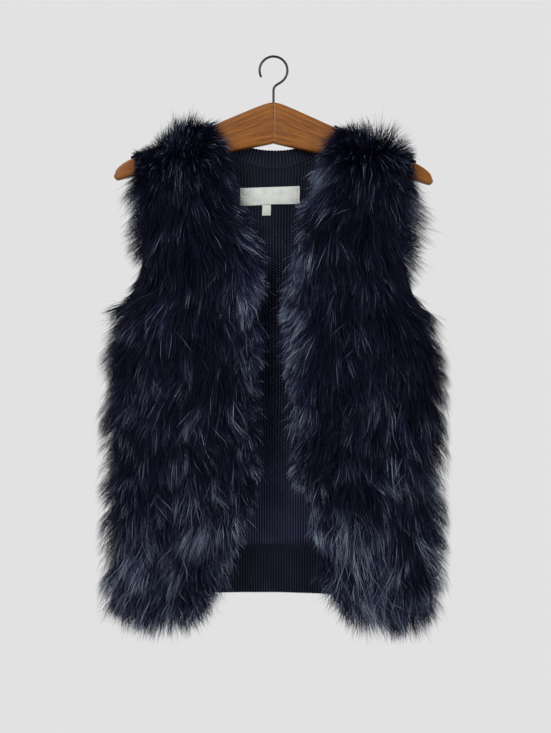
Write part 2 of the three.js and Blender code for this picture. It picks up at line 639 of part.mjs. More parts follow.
/** One half of the wooden hanger, glued to the other at the middle, with half of the stem's bore. */
function hangerArm(side) {
  const reach = HANGER_WIDTH / 2;
  const stations = [SEAM_GAP / 2, 6, 14, 26, 45, 75, 110, 150, 180, 192, 200, 206, 211, 214, reach];
  const cornerSteps = 3;
  const rings = stations.map((x) => {
    const droop = HANGER_UNDER_CURVE * (x / reach) ** 2;
    const foot = -HANGER_UNDER_DROP - HANGER_UNDER_SLOPE * x - droop;
    const intoTip = clamp((x - (reach - HANGER_TIP_ROUND)) / HANGER_TIP_ROUND, 0, 1);
    const tip = Math.sqrt(1 - intoTip ** 2);
    const high = Math.max(HANGER_TIP_LEAST, (woodTop(x) - foot) * tip);
    const thick = HANGER_THICK * (1 - HANGER_TIP_THIN * intoTip ** 2);
    const round = Math.min(HANGER_EDGE_ROUND, high / 2 - HANGER_FLAT, thick / 2 - HANGER_FLAT);
    const corners = [[1, 1], [-1, 1], [-1, -1], [1, -1]];
    return corners.flatMap(([sy, sz], corner) =>
      Array.from({ length: cornerSteps + 1 }, (_, k) => {
        const turn = ((corner + k / cornerSteps) * Math.PI) / 2;
        const y = sy * (thick / 2 - round) + round * Math.cos(turn);
        const z = foot + high / 2 + sz * (high / 2 - round) + round * Math.sin(turn);
        return new THREE.Vector3(side * x, middlePlane(x, 0) + y, z);
      }),
    );
  });
  const boreRadius = HOOK_WIRE / 2 + BORE_PLAY;
  const boreLength = STEM_SUNK + HOOK_RADIUS;
  const bore = new THREE.CylinderGeometry(boreRadius, boreRadius, boreLength, 24);
  bore.rotateX(Math.PI / 2);
  bore.translate(0, 0, boreLength / 2 - HANGER_TOP_DROP - STEM_SUNK - SEAM_GAP);
  return fromManifold(toManifold(loft(tilted(rings))).subtract(toManifold(bore)));
}

/** The bent wire hook, with its stem sunk into the wood. */
function hangerHook() {
  const curl = HOOK_WIRE / 2 - HOOK_RADIUS;
  const arcSteps = 22;
  const points = Array.from({ length: arcSteps + 1 }, (_, k) => {
    const turn = THREE.MathUtils.degToRad(lerp(HOOK_OPEN_ANGLE, HOOK_CLOSE_ANGLE, k / arcSteps));
    return new THREE.Vector3(HOOK_RADIUS * Math.cos(turn), 0, curl + HOOK_RADIUS * Math.sin(turn));
  });
  const end = points.at(-1);
  const turn = THREE.MathUtils.degToRad(HOOK_CLOSE_ANGLE);
  const heading = new THREE.Vector3(Math.sin(turn), 0, -Math.cos(turn));
  const stemTop = new THREE.Vector3(0, 0, curl - HOOK_NECK_DROP);
  const neck = new THREE.CubicBezierCurve3(
    end,
    end.clone().addScaledVector(heading, HOOK_NECK_EASE),
    stemTop.clone().add(new THREE.Vector3(0, 0, HOOK_NECK_EASE)),
    stemTop,
  );
  points.push(...neck.getPoints(6).slice(1));
  const stemFoot = -HANGER_TOP_DROP - STEM_SUNK;
  for (let k = 1; k <= 3; k++) points.push(new THREE.Vector3(0, 0, lerp(stemTop.z, stemFoot, k / 3)));
  const section = new THREE.Shape().absarc(0, 0, HOOK_WIRE / 2, 0, 2 * Math.PI);
  return new THREE.ExtrudeGeometry(section, {
    extrudePath: new THREE.CatmullRomCurve3(points, false, 'centripetal'),
    steps: 36,
    curveSegments: 5,
    bevelEnabled: false,
  });
}

const FUR = new THREE.MeshStandardMaterial({ color: 0x1c1f2b, roughness: 0.7, metalness: 0 });
const KNIT = new THREE.MeshStandardMaterial({ color: 0x191a26, roughness: 0.9, metalness: 0 });
const WOOD = new THREE.MeshStandardMaterial({ color: 0x92592f, roughness: 0.45, metalness: 0 });
const STEEL = new THREE.MeshStandardMaterial({ color: 0x4a4744, roughness: 0.35, metalness: 1 });
const TAPE = new THREE.MeshStandardMaterial({ color: 0xb9bbb2, roughness: 0.8, metalness: 0 });

const vest = new THREE.Group();

function add(name, geometry, material) {
  const mesh = new THREE.Mesh(geometry, material);
  mesh.name = name;
  vest.add(mesh);
}

for (const [name, side] of [['left', -1], ['right', 1]]) {
  add(`fur_front_${name}`, furFront(side), FUR);
  add(`armhole_rib_${name}`, armholeRib(side), KNIT);
  add(`hanger_arm_${name}`, hangerArm(side), WOOD);
}
add('knit_back', knitBack(), KNIT);
add('neck_rib', neckRib(), KNIT);
add('hem_rib', hemRib(), KNIT);
add('label', tag(LABEL), TAPE);
add('size_tab', tag(SIZE_TAB), TAPE);
add('hanger_hook', hangerHook(), STEEL);

export default vest;
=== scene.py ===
"""Looks of a long-pile faux fur vest with a rib knit back, hanging open on a wooden hanger.

Everything is in metres once it is made. The form tables are in millimetres, with z up, the front of the vest
facing -y and the hang point, the top inside of the hook, at the origin.
"""

import math

import bmesh
import bpy
import numpy as np
from bpy.props import FloatProperty, FloatVectorProperty, IntProperty, PointerProperty, StringProperty
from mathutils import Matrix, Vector


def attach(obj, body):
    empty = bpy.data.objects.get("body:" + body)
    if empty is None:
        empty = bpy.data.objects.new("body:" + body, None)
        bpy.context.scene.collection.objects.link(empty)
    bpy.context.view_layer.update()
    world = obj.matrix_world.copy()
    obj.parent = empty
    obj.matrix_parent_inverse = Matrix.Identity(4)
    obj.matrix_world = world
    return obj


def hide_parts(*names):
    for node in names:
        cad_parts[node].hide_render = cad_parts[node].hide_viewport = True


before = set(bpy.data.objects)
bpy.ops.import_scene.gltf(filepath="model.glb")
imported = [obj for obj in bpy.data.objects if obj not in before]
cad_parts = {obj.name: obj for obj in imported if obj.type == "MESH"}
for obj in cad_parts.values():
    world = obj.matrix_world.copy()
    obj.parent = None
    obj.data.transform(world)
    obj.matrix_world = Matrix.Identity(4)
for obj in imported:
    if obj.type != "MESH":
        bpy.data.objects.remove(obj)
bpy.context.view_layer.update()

bl_info = {
    "name": "Faux fur vest on a hanger",
    "version": (1, 0, 0),
    "blender": (4, 5, 0),
    "location": "3D View > Sidebar > Vest",
    "description": "Builds the fur fronts, the knit back, the bands, the labels and the hanger",
    "category": "Object",
}

MM = 0.001

# ---- Sizes shared by several pieces, in millimetres
SEAM_GAP = 0.3
EDGE_GAP = 0.6
SEAM_LAP = 3
SEAM_ROLL = 6.5
LABEL_FOLD = 3.2
TAPE_THICK = 0.55
TILT = 0.015  # the hanger hangs a little low on its right
HANGER_WIDTH = 430
HANGER_TOP_DROP = 62
HANGER_PEAK_ROUND = 10
HANGER_TOP_SLOPE = 0.45
HANGER_BOW = 14
SHOULDER_NECK = 92
SHOULDER_TIP = 184
SHOULDER_LIFT = 2.2
SHOULDER_TURN = 9
SECTION_POWER = 3
UNDERARM_DROP = 345
CORNER_DROP = 722
SIDE_HEM_DROP = 731
HEM_DIP = 17
HEM_CURVE = 0.8
RIB_HEM_TOP = 671
RIB_HEM_FOOT = 735
NECK_RIB_HEIGHT = 22.5
NECK_RIB_FOOT_DROP = 147
NECK_RIB_IN = 10
NECK_END = 93
NECK_CURVE = 2.1
NECK_TOP_CURVE = 2.25
ARMHOLE_RIB_WIDTH = 9
ARMHOLE_RIB_SHARE = 0.955
KNIT_THICK = 2.4
BAND_SET_OUT = 0.3
SEAM_RIDGE = 1.3
HEM_SCALLOP, NECK_SCALLOP, ARMHOLE_SCALLOP = 1.2, 1.0, 0.5  # how deep the free edges dip between the ribs
FUR_BACKING = 1.2
UPPER_STRETCH = 0.35
HANGER_UNDER_DROP = 113.8
HANGER_UNDER_SLOPE = 0.25
HANGER_UNDER_CURVE = 7
HANGER_TIP_ROUND = 25
HANGER_TIP_THIN = 0.35
HOOK_RADIUS = 19
HOOK_OPEN_ANGLE = 205
HOOK_CLOSE_ANGLE = -50
HOOK_NECK_DROP = 28
HOOK_NECK_EASE = 8
STEM_SUNK = 20
ARM_REACH = HANGER_WIDTH / 2
UNDER_MIDDLE, UNDER_MIDDLE_WIDE = 3, 45  # the underside drops this much more in the middle, over this width
TIP_HIGH, TIP_POWER = 7.5, 2.3  # the height of an arm's tip, and the power of its rounded outline
TIP_LIFT, TIP_CORNER = 4.5, 7  # the rounded lower corner of the tip
TIP_STATIONS = 30  # the sections of an arm are closer together over this length
CHAMFER = 0.5  # along the glue line
ARM_SIDES, ARM_SQUARE = 40, 0.3  # the points round a section, and the power that squares it; 1 is an ellipse
HOOK_SIDES = 20

# ---- Flat sizes of the cut cloth, in metres: width and height
FRONT_SIZE = (0.2, 0.645)
BACK_SIZE = (0.41, 0.58)
NECK_BAND_SIZE = (0.215, 0.024)
ARMHOLE_BAND_HIGH = 0.011
BAND_ROW = 0.004  # the height of one row of a band's mesh
RIBBED_WIDTH = 0.4  # the back's columns are counted over this
HEM_AROUND = 2.08  # the hem band's length, in half widths of the vest
LABEL_SIZE = (0.082, 0.024)
TAB_SIZE = (0.012, 0.018)

# ---- Directions that face out of the fronts, the back and its bands
FRONT_OUT = np.array([0.0, -1.0, 0.25])
BACK_OUT = np.array([0.0, 1.0, 0.6])
BAND_OUT = np.array([0.0, 1.0, 0.3])

# ---- Camera, in metres and millimetres, and the place that the lights are aimed at
CAMERA_PLACE = (0.0027, -1.5, -0.4216)
CAMERA_SENSOR, CAMERA_LENS = 36, 53.97
VEST_MIDDLE = Vector((0, 0, -0.42))


def table(names, *rows):
    """Named columns of a table that is written row by row."""
    return dict(zip(names.split(), np.array(rows, float).T))


# ---- Forms, in millimetres

# Cloth edges by the drop below the hang point, as distances from the middle; the shift moves both edges aside.
FRONT_EDGE = table(
    "drop out shift",
    (97, 92, 1), (122, 80, 3), (136, 76, 2), (175, 66, 1), (202, 56, -2), (228, 47, -2), (255, 36, 2), (281, 30, 1),
    (334, 27, 1), (400, 27, 0), (466, 33, 0), (532, 37, 4), (598, 44, 6), (624, 49, 6), (677, 64, 1), (700, 74, 2),
    (722, 88, 2),
)
ARMHOLE_EDGE = table(
    "drop out",
    (138, 184), (165, 177), (200, 171), (240, 168), (275, 169), (300, 174), (320, 181), (334, 188), (345, 195),
)
# The hollow between the front and the back: its half width, and its depth before and behind the middle.
HOLLOW = table(
    "drop half front back",
    (97, 320, 8.6, 8.6), (180, 280, 10, 9.5), (260, 230, 19, 14), (345, 196, 27, 18), (413, 202, 31, 20),
    (480, 205, 33, 21), (549, 201, 32, 21), (620, 200, 31, 20), (742, 197, 30, 20),
)
# Folds: place across, half width, depth, and the drops at which each starts and is full.
FRONT_FOLDS = ((62, 17, -4, 400, 520), (112, 24, 4, 380, 560), (158, 16, -3.5, 430, 600))
BACK_FOLDS = (
    (-136, 24, 4, 330, 600), (-72, 20, -3.5, 420, 640), (8, 26, 3, 380, 620), (84, 19, -4, 360, 600),
    (146, 22, 3.5, 400, 640),
)
# How the pile lies, by the share of the way down: its length, the share of that at the front edge, how far it
# leans to the front edge and to the side in degrees, its length at the side of either front, and how pale it is
# painted: painted light, which is strongest towards the foot.
PILE = table(
    "down length edge inward outward left right pale",
    (0.0, 0.42, 1.0, 46, 52, 0.75, 0.72, 0.15),
    (0.06, 0.62, 1.1, 54, 56, 0.95, 0.92, 0.12),
    (0.11, 0.9, 0.7, 44, 46, 0.85, 1.05, 0.06),
    (0.18, 1.0, 0.62, 34, 44, 0.82, 1.05, 0.01),
    (0.24, 1.0, 0.66, 30, 30, 0.55, 0.72, 0.012),
    (0.28, 1.0, 0.62, 26, 26, 0.45, 0.42, 0.028),
    (0.32, 1.0, 0.56, 22, 30, 0.62, 0.75, 0.07),
    (0.5, 1.0, 0.52, 20, 20, 0.9, 1.1, 0.095),
    (0.64, 1.0, 0.62, 20, 18, 0.85, 1.1, 0.125),
    (0.76, 1.0, 0.6, 20, 18, 1.05, 1.12, 0.205),
    (0.88, 1.0, 0.42, 12, 22, 1.25, 1.05, 0.305),
    (1.0, 0.9, 0.65, 8, 14, 0.9, 0.75, 0.26),
)
# How high the pile stands along the top of each shoulder, from the neck to the tip.
SHOULDER_PILE = table(
    "out left right",
    (0.0, 1.25, 1.15), (0.1, 1.2, 1.0), (0.24, 1.95, 1.3), (0.46, 2.05, 2.0), (0.66, 1.1, 2.5), (0.88, 0.42, 0.75),
    (1.0, 0.28, 0.35),
)
SIDES = (("left", -1), ("right", 1))
FUR_PARTS = ("upper", "middle", "lower")
FUR_SEEDS = {-1: 20, 1: 60}  # where the random draws of each front start


# ---- Form of the cloth

def curve_of(columns, at, value):
    """A smooth curve through two columns of a table, without overshoot and level past its ends."""
    x, y = columns[at], columns[value]
    grade = np.diff(y) / np.diff(x)
    slope = np.zeros(len(x))
    both = grade[:-1] * grade[1:]
    total = np.where(both > 0, grade[:-1] + grade[1:], 1.0)
    slope[1:-1] = np.where(both > 0, 2 * both / total, 0.0)

    def value_at(q):
        q = np.clip(q, x[0], x[-1])
        i = np.clip(np.searchsorted(x, q, side="right") - 1, 0, len(x) - 2)
        span = x[i + 1] - x[i]
        t = (q - x[i]) / span
        rise = y[i + 1] - y[i]
        a = span * slope[i] - rise
        b = rise - span * slope[i + 1]
        return y[i] + rise * t + t * (1 - t) * (a * (1 - t) + b * t)

    return value_at


edge_out, edge_shift = (curve_of(FRONT_EDGE, "drop", name) for name in ("out", "shift"))
armhole_out = curve_of(ARMHOLE_EDGE, "drop", "out")
hollow_half, hollow_front, hollow_back = (curve_of(HOLLOW, "drop", name) for name in ("half", "front", "back"))
pile_length, pile_edge, pile_inward, pile_outward, pile_painted_light = (
    curve_of(PILE, "down", name) for name in ("length", "edge", "inward", "outward", "pale")
)
pile_side = {side: curve_of(PILE, "down", name) for name, side in SIDES}
shoulder_pile = {side: curve_of(SHOULDER_PILE, "out", name) for name, side in SIDES}


def smooth(x, low, high):
    t = np.clip((x - low) / (high - low), 0, 1)
    return t * t * (3 - 2 * t)


def wood_top(x):
    return -HANGER_TOP_DROP - HANGER_TOP_SLOPE * (np.hypot(x, HANGER_PEAK_ROUND) - HANGER_PEAK_ROUND)


def shoulder_line(x):
    return wood_top(np.abs(x)) + SHOULDER_LIFT


def middle_plane(x, z):
    return -HANGER_BOW * (x / (HANGER_WIDTH / 2)) ** 2 * (1 - 0.7 * smooth(-z, 170, 420))


def folds_at(folds, x, z):
    return sum(
        deep * np.exp(-(((x - across) / wide) ** 2)) * smooth(-z, start, full)
        for across, wide, deep, start, full in folds
    )


def hollow(x, z, face):
    """The cloth's y, in front of or behind the hollow, at a place seen from the front."""
    ratio = np.minimum(1, np.abs(x) / hollow_half(-z))
    side = (1 - ratio**SECTION_POWER) ** (1 / SECTION_POWER)
    below = np.clip((shoulder_line(x) - z) / SHOULDER_TURN, 0, 1)
    turn = np.sqrt(1 - (1 - below) ** 2)
    depth = hollow_front(-z) if face == "front" else hollow_back(-z)
    fold = folds_at(FRONT_FOLDS, np.abs(x), z) if face == "front" else folds_at(BACK_FOLDS, x, z)
    away = np.maximum(depth * turn, SEAM_GAP / 2) + fold * turn
    return middle_plane(x, z) + (-1 if face == "front" else 1) * np.maximum(away * side, SEAM_GAP / 2)


def on_cloth(x, z, face):
    return np.stack([x, hollow(x, z, face), z], axis=-1)


def outer_end(z):
    return np.where(-z < UNDERARM_DROP, armhole_out(-z), hollow_half(-z))


def placed(x, y, z):
    """Points in metres, hung on the slightly tilted hanger."""
    x, y, z = np.broadcast_arrays(x, y, z)
    return np.stack([x, y, z - TILT * x], axis=-1) * MM


def spaced(points, shares):
    """Points at shares of the length of each row of points."""
    steps = steps_of(points, -2)
    along = np.concatenate([np.zeros((*steps.shape[:-1], 1)), np.cumsum(steps, axis=-1)], axis=-1)
    out = np.empty((points.shape[0], len(shares), 3))
    for j in range(points.shape[0]):
        for k in range(3):
            out[j, :, k] = np.interp(np.array(shares) * along[j, -1], along[j], points[j, :, k])
    return out


def front_cloth(side, across_shares, down_shares):
    """The fur's backing: rows from the front edge to the armhole or the side seam."""
    neck, tip = shoulder_line(SHOULDER_NECK), shoulder_line(SHOULDER_TIP)
    share = np.array(down_shares, float)[:, None]
    inner_z = neck - share * (CORNER_DROP + neck)
    outer_z = tip - share * (SIDE_HEM_DROP + tip)
    inner = edge_out(-inner_z) + side * edge_shift(-inner_z)
    outer = outer_end(outer_z)
    across = np.sin(np.linspace(0, 1, 161) * math.pi / 2)[None, :]
    dip = HEM_DIP * np.abs(np.sin(math.pi * across)) ** HEM_CURVE * smooth(share, 0.8, 1)
    x = inner + (outer - inner) * across
    z = inner_z + (outer_z - inner_z) * across - dip
    z = np.where(share == 0, shoulder_line(x), z)
    points = spaced(on_cloth(x, z, "front"), across_shares)
    return placed(side * points[..., 0], points[..., 1], points[..., 2])


def neckline(x, middle, end, power):
    return middle + (shoulder_line(end) - middle) * np.minimum(1, np.abs(x) / end) ** power


def back_top(x):
    curve = neckline(x, -NECK_RIB_FOOT_DROP, NECK_END, NECK_CURVE)
    return np.where(np.abs(x) < NECK_END, curve, shoulder_line(x))


def back_cloth(across_shares, down_shares):
    """The knit back's inside, in millimetres: rows from the neckline and shoulders to the hem rib."""
    across = np.array(across_shares, float)[None, :]
    down = np.array(down_shares, float)[:, None]
    # The columns of the knit are drawn apart in the middle of the upper back, and narrowed along the armholes.
    drawn = UPPER_STRETCH * (1 - smooth(down, 0.25, 0.8))
    across = across * (1 + drawn - drawn * across**2)
    top_x = across * SHOULDER_TIP
    top = back_top(top_x)
    z = top + (-(RIB_HEM_TOP - EDGE_GAP) - top) * down
    x = np.where(down == 0, top_x, across * outer_end(z))
    return on_cloth(x, z, "back")


def grid_frames(points, outward):
    """Unit directions across, down and out of the face of each point of a grid."""
    across = np.gradient(points, axis=1)
    down = np.gradient(points, axis=0)
    across /= np.linalg.norm(across, axis=-1, keepdims=True)
    down /= np.linalg.norm(down, axis=-1, keepdims=True)
    out = np.cross(across, down)
    out /= np.linalg.norm(out, axis=-1, keepdims=True)
    out *= np.where((out * outward).sum(axis=-1, keepdims=True) < 0, -1, 1)
    return across, down, out


# ---- Mesh and material helpers

def new_object(name, mesh):
    piece = bpy.data.objects.new(name, mesh)
    bpy.context.scene.collection.objects.link(piece)
    return piece


def smooth_faces(mesh):
    mesh.polygons.foreach_set("use_smooth", np.ones(len(mesh.polygons), bool))


def finish_bmesh(bm, name, material, smooth_shaded=True):
    mesh = bpy.data.meshes.new(name)
    bm.to_mesh(mesh)
    bm.free()
    if smooth_shaded:
        smooth_faces(mesh)
    mesh.materials.append(material)
    return new_object(name, mesh)


def shell(name, outer, inner, size, material, grooves=None):
    """A thin closed sheet between two grids of points, with a UV map in metres of the flat cloth.

    grooves has a value, from 0 to 1, for each column or point of the outer face; the inner face has their opposite.
    """
    rows, columns = outer.shape[:2]
    bm = bmesh.new()
    bmesh.ops.create_grid(bm, x_segments=columns - 1, y_segments=rows - 1, size=0.5)
    bmesh.ops.solidify(bm, geom=bm.faces[:], thickness=0.01)
    steps = steps_of(outer, 0).mean(axis=1)
    below = np.concatenate([[0], np.cumsum(steps)]) / steps.sum()
    uv = bm.loops.layers.uv.new("UVMap")
    for face in bm.faces:
        for loop in face.loops:
            row = round((0.5 - loop.vert.co.y) * (rows - 1))
            loop[uv].uv = (loop.vert.co.x + 0.5) * size[0], (1 - below[row]) * size[1]
    sunk = bm.verts.layers.float.new("groove") if grooves is not None else None
    if sunk:
        grooves = np.broadcast_to(grooves, (rows, columns))
    for vert in bm.verts:
        column, row = round((0.5 + vert.co.x) * (columns - 1)), round((0.5 - vert.co.y) * (rows - 1))
        near = vert.co.z > -0.005
        if sunk:
            vert[sunk] = grooves[row, column] if near else 1 - grooves[row, column]
        vert.co = (outer if near else inner)[row, column]
    if bm.calc_volume(signed=True) < 0:
        bmesh.ops.reverse_faces(bm, faces=bm.faces[:])
    return finish_bmesh(bm, name, material)


def steps_of(points, axis):
    """Lengths of the steps between neighbouring points."""
    return np.linalg.norm(np.diff(points, axis=axis), axis=-1)


def linear(hex_colour):
    """A linear colour from an sRGB hex value such as #1c1f2b."""
    channels = [int(hex_colour[i : i + 2], 16) / 255 for i in (1, 3, 5)]
    return (*[c / 12.92 if c <= 0.04045 else ((c + 0.055) / 1.055) ** 2.4 for c in channels], 1)


def add_node(tree, kind, settings=None, links=None):
    """A node with its settings, by socket or property name, and the sockets that it reads."""
    node = tree.nodes.new(kind)
    for key, value in (settings or {}).items():
        if isinstance(key, int) or key in node.inputs:
            node.inputs[key].default_value = value
        else:
            setattr(node, key, value)
    for key, source in (links or {}).items():
        tree.links.new(source, node.inputs[key])
    return node

def uv_map(tree):
    """The piece's own map, in metres along its cloth or body."""
    return add_node(tree, "ShaderNodeUVMap", {"uv_map": "UVMap"}).outputs["UV"]


def point_value(tree, name):
    """A value that the mesh holds for each point."""
    return add_node(tree, "ShaderNodeAttribute", {"attribute_name": name}).outputs["Fac"]


def maths(tree, operation, *values):
    """A maths node on numbers and sockets, in their order."""
    numbers = {i: value for i, value in enumerate(values) if isinstance(value, (int, float))}
    sockets = {i: value for i, value in enumerate(values) if i not in numbers}
    return add_node(tree, "ShaderNodeMath", {"operation": operation, **numbers}, sockets).outputs[0]


def ranged(tree, value, **ends):
    """A value brought from one range to another; the ends are named as the node's sockets are."""
    settings = {key.replace("_", " "): end for key, end in ends.items()}
    return add_node(tree, "ShaderNodeMapRange", settings, {"Value": value}).outputs["Result"]


def stretched(tree, vector, along, across):
    """A map counted in marks that are along by across metres large."""
    settings = {"Scale": (1 / along, 1 / across, 1)}
    return add_node(tree, "ShaderNodeMapping", settings, {"Vector": vector}).outputs["Vector"]


def noise(tree, vector, scale, detail=2.0, distortion=0.0):
    settings = {"Scale": scale, "Detail": detail, "Distortion": distortion}
    return add_node(tree, "ShaderNodeTexNoise", settings, {"Vector": vector}).outputs["Fac"]


def loops_of(tree, vector, scale, randomness):
    """How far a place is from the middle of its loop or stitch."""
    settings = {"Scale": scale, "Randomness": randomness}
    return add_node(tree, "ShaderNodeTexVoronoi", settings, {"Vector": vector}).outputs["Distance"]


def set_colour(tree, shader, source, *stops):
    """Colour the material by a ramp of (position, sRGB hex) stops."""
    ramp = add_node(tree, "ShaderNodeValToRGB", links={"Fac": source})
    elements = ramp.color_ramp.elements
    while len(elements) < len(stops):
        elements.new(0.5)
    for element, (position, colour) in zip(elements, stops):
        element.position = position
        element.color = linear(colour)
    tree.links.new(ramp.outputs["Color"], shader.inputs["Base Color"])


def set_bump(tree, shader, height, strength, distance, invert=False):
    settings = {"Strength": strength, "Distance": distance, "invert": invert}
    bump = add_node(tree, "ShaderNodeBump", settings, {"Height": height})
    tree.links.new(bump.outputs["Normal"], shader.inputs["Normal"])


def new_material(name, **sockets):
    material = bpy.data.materials.new(name)
    material.use_nodes = True
    tree = material.node_tree
    shader = tree.nodes["Principled BSDF"]
    for key, value in sockets.items():
        shader.inputs[key.replace("_", " ")].default_value = value
    return material, tree, shader


def material_once(name, make):
    return bpy.data.materials.get(name) or make(name)


def pile_material(name):
    """Modacrylic long pile, brushed and heat set: smooth dark fibres with a bluish gloss along them."""
    settings = bpy.context.scene.vest_fur
    material, tree, shader = new_material(
        name, Roughness=0.42, IOR=1.49, Specular_IOR_Level=0.12, Specular_Tint=linear("#aab0e0"),
    )
    streaks = noise(tree, uv_map(tree), 9.0)
    # pale holds painted light, painted sheen and painted shade as well as the strands' random tone; the streaks are
    # random tone.
    shade = maths(tree, "SUBTRACT", maths(tree, "MULTIPLY_ADD", streaks, 0.2, point_value(tree, "pale")), 0.1)
    set_colour(
        tree, shader, shade, (0.0, settings.root_painted_shade), (0.22, settings.dark_colour),
        (0.5, settings.middle_colour), (1.0, settings.tip_painted_sheen),
    )
    return material


def backing_material(name):
    """Knitted polyester backing of the pile, napped: matt and almost black, in loops of about 1.2 mm."""
    material, tree, shader = new_material(
        name, Roughness=0.95, Sheen_Weight=0.02, Sheen_Roughness=0.6, Specular_IOR_Level=0.1,
    )
    # The loops are painted darker away from their middles: painted shade between the loops.
    loops = loops_of(tree, uv_map(tree), 1 / 0.0012, 0.4)
    set_colour(tree, shader, loops, (0.0, "#0c0e15"), (0.7, "#05060a"))
    set_bump(tree, shader, loops, 0.5, 0.0003)
    return material


def knit_material(name, stitch, relief, grooves, zone, painted_light_and_shade):
    """Dyed wool and acrylic yarn, knitted: matt navy with a soft halo of fibres.

    stitch is a stitch's width and height in mm, relief its height in mm, grooves how much painted shade darkens the
    ribs' grooves, zone the heights on the cloth, in metres, between which the stitches stand out as tucks, and
    painted_light_and_shade the painted light and shade by height, added to the shade at the foot and at the top of the
    back's cloth: below zero the yarn is painted lighter, above zero darker. The tucks' stitches are painted light on
    top and painted shade between them.
    """
    settings = bpy.context.scene.vest_knit
    material, tree, shader = new_material(
        name, Roughness=0.88, Sheen_Weight=0.04, Sheen_Roughness=0.45, Sheen_Tint=linear("#8088a8"),
        Specular_IOR_Level=0.08,
    )
    flat = uv_map(tree)
    # Neighbouring columns are half a stitch apart: squares turned by 45 degrees.
    turned = add_node(
        tree, "ShaderNodeMapping", {"Rotation": (0, 0, math.pi / 4), "Scale": (0.7071, 0.7071, 1)},
        {"Vector": stretched(tree, flat, stitch[0] * MM, stitch[1] * MM / 2)},
    )
    loops = loops_of(tree, turned.outputs["Vector"], 1.0, 0.2)
    height = add_node(tree, "ShaderNodeSeparateXYZ", links={"Vector": flat}).outputs["Y"]
    above = ranged(tree, height, From_Min=zone[0], From_Max=zone[0] + 0.04, To_Min=0.05)
    below = ranged(tree, height, From_Min=zone[1], From_Max=zone[1] - 0.05, To_Min=0.05)
    # bumps also colours the tucks: painted light on the tops of the stitches and painted shade between them.
    bumps = maths(tree, "MULTIPLY", maths(tree, "SUBTRACT", loops, 0.5), maths(tree, "MULTIPLY", above, below))
    # Loose fibres make a fuzz 0.5 mm fine, and the yarn's dye varies a little over 30 mm.
    fuzz, dye = noise(tree, flat, 1 / 0.0005, 3.0), noise(tree, flat, 1 / 0.03)
    shade = bumps
    # The groove attribute paints shade into the ribs' grooves; the fuzz and the dye are the yarn's own tone.
    for source, share in ((fuzz, 0.35), (dye, 0.3), (point_value(tree, "groove"), grooves)):
        shade = maths(tree, "MULTIPLY_ADD", source, share, shade)
    # Painted light and shade by height: below zero the yarn is painted lighter, above zero darker; the back's yarn is
    # painted lighter towards its foot and a little darker at its top.
    painted_height_offset = ranged(tree, height, From_Max=BACK_SIZE[1], To_Min=painted_light_and_shade[0], To_Max=painted_light_and_shade[1])
    set_colour(
        tree, shader, maths(tree, "ADD", shade, painted_height_offset),
        (0.02, settings.yarn_painted_light), (0.34, settings.yarn_colour), (0.72, settings.yarn_painted_shade),
    )
    set_bump(tree, shader, maths(tree, "MULTIPLY_ADD", fuzz, -0.15, bumps), 1.0, relief * MM, invert=True)
    return material


def tuck_knit(name):
    return knit_material(name, stitch=(3.7, 4.1), relief=1.6, grooves=0.5, zone=(0.07, 0.505), painted_light_and_shade=(-0.31, 0.03))


def rib_knit(name):
    return knit_material(name, stitch=(2.4, 3.4), relief=0.3, grooves=0.46, zone=(1, 0), painted_light_and_shade=(-0.03, -0.03))


def tape_material(name):
    """Damask-woven polyester tape: pale, slightly glossy, with fine threads both ways, a little soil, and painted shade
    along the stitched lines of the folded ends.
    """
    material, tree, shader = new_material(name, Roughness=0.62, Sheen_Weight=0.12)
    flat = uv_map(tree)
    # Threads are about 0.35 mm; drawn at 0.7 mm so that they show.
    weft, warp = (
        add_node(
            tree, "ShaderNodeTexWave", {"Scale": 1 / 0.0007 / math.tau, "bands_direction": way, "Distortion": 0.4},
            {"Vector": flat},
        ).outputs["Fac"]
        for way in "YX"
    )
    woven = maths(tree, "MULTIPLY", weft, warp)
    # The groove attribute marks the stitching at the folded ends, where the tape is painted darker: painted shade in
    # the drawn-in line. The noise is soil.
    soil_and_shade = maths(tree, "MULTIPLY_ADD", point_value(tree, "groove"), -0.4, noise(tree, flat, 1 / 0.012, 3.0))
    set_colour(
        tree, shader, maths(tree, "MULTIPLY_ADD", woven, 0.35, soil_and_shade),
        (0.0, "#5f605c"), (0.25, "#868883"), (0.55, "#999b96"), (0.95, "#a8aaa4"),
    )
    set_bump(tree, shader, woven, 0.35, 0.0002)
    return material


def wood_material(name):
    """Stained and varnished hardwood: warm brown, long grain down each arm, satin varnish."""
    settings = bpy.context.scene.vest_hanger
    material, tree, shader = new_material(
        name, Roughness=0.42, Coat_Weight=0.06, Coat_Roughness=0.25, Specular_IOR_Level=0.15,
    )
    along = uv_map(tree)
    # Growth rings show as streaks about 3 mm apart and 90 mm long, with finer and shorter pores between them.
    rings = noise(tree, stretched(tree, along, 0.09, 0.0032), 1.2, 6.0, 0.5)
    pores = noise(tree, stretched(tree, along, 0.018, 0.0011), 1.0, 3.0)
    grain = maths(tree, "MULTIPLY_ADD", pores, 0.7, rings)
    set_colour(
        tree, shader, grain, (0.7, settings.grain_dark), (0.85, settings.wood_colour), (1.0, settings.grain_light),
    )
    set_bump(tree, shader, grain, 0.25, 0.0003)
    return material


def wire_material(name):
    """Drawn steel wire with a dark plated finish, lightly scratched along its length."""
    material, tree, shader = new_material(name, Metallic=1.0, Roughness=0.35)
    marks = noise(tree, stretched(tree, uv_map(tree), 0.03, 0.0006), 1.0, 4.0)
    set_colour(tree, shader, marks, (0.35, "#1b1917"), (0.7, "#3d3a36"))
    tree.links.new(ranged(tree, marks, To_Min=0.25, To_Max=0.5), shader.inputs["Roughness"])
    return material


# ---- Fur

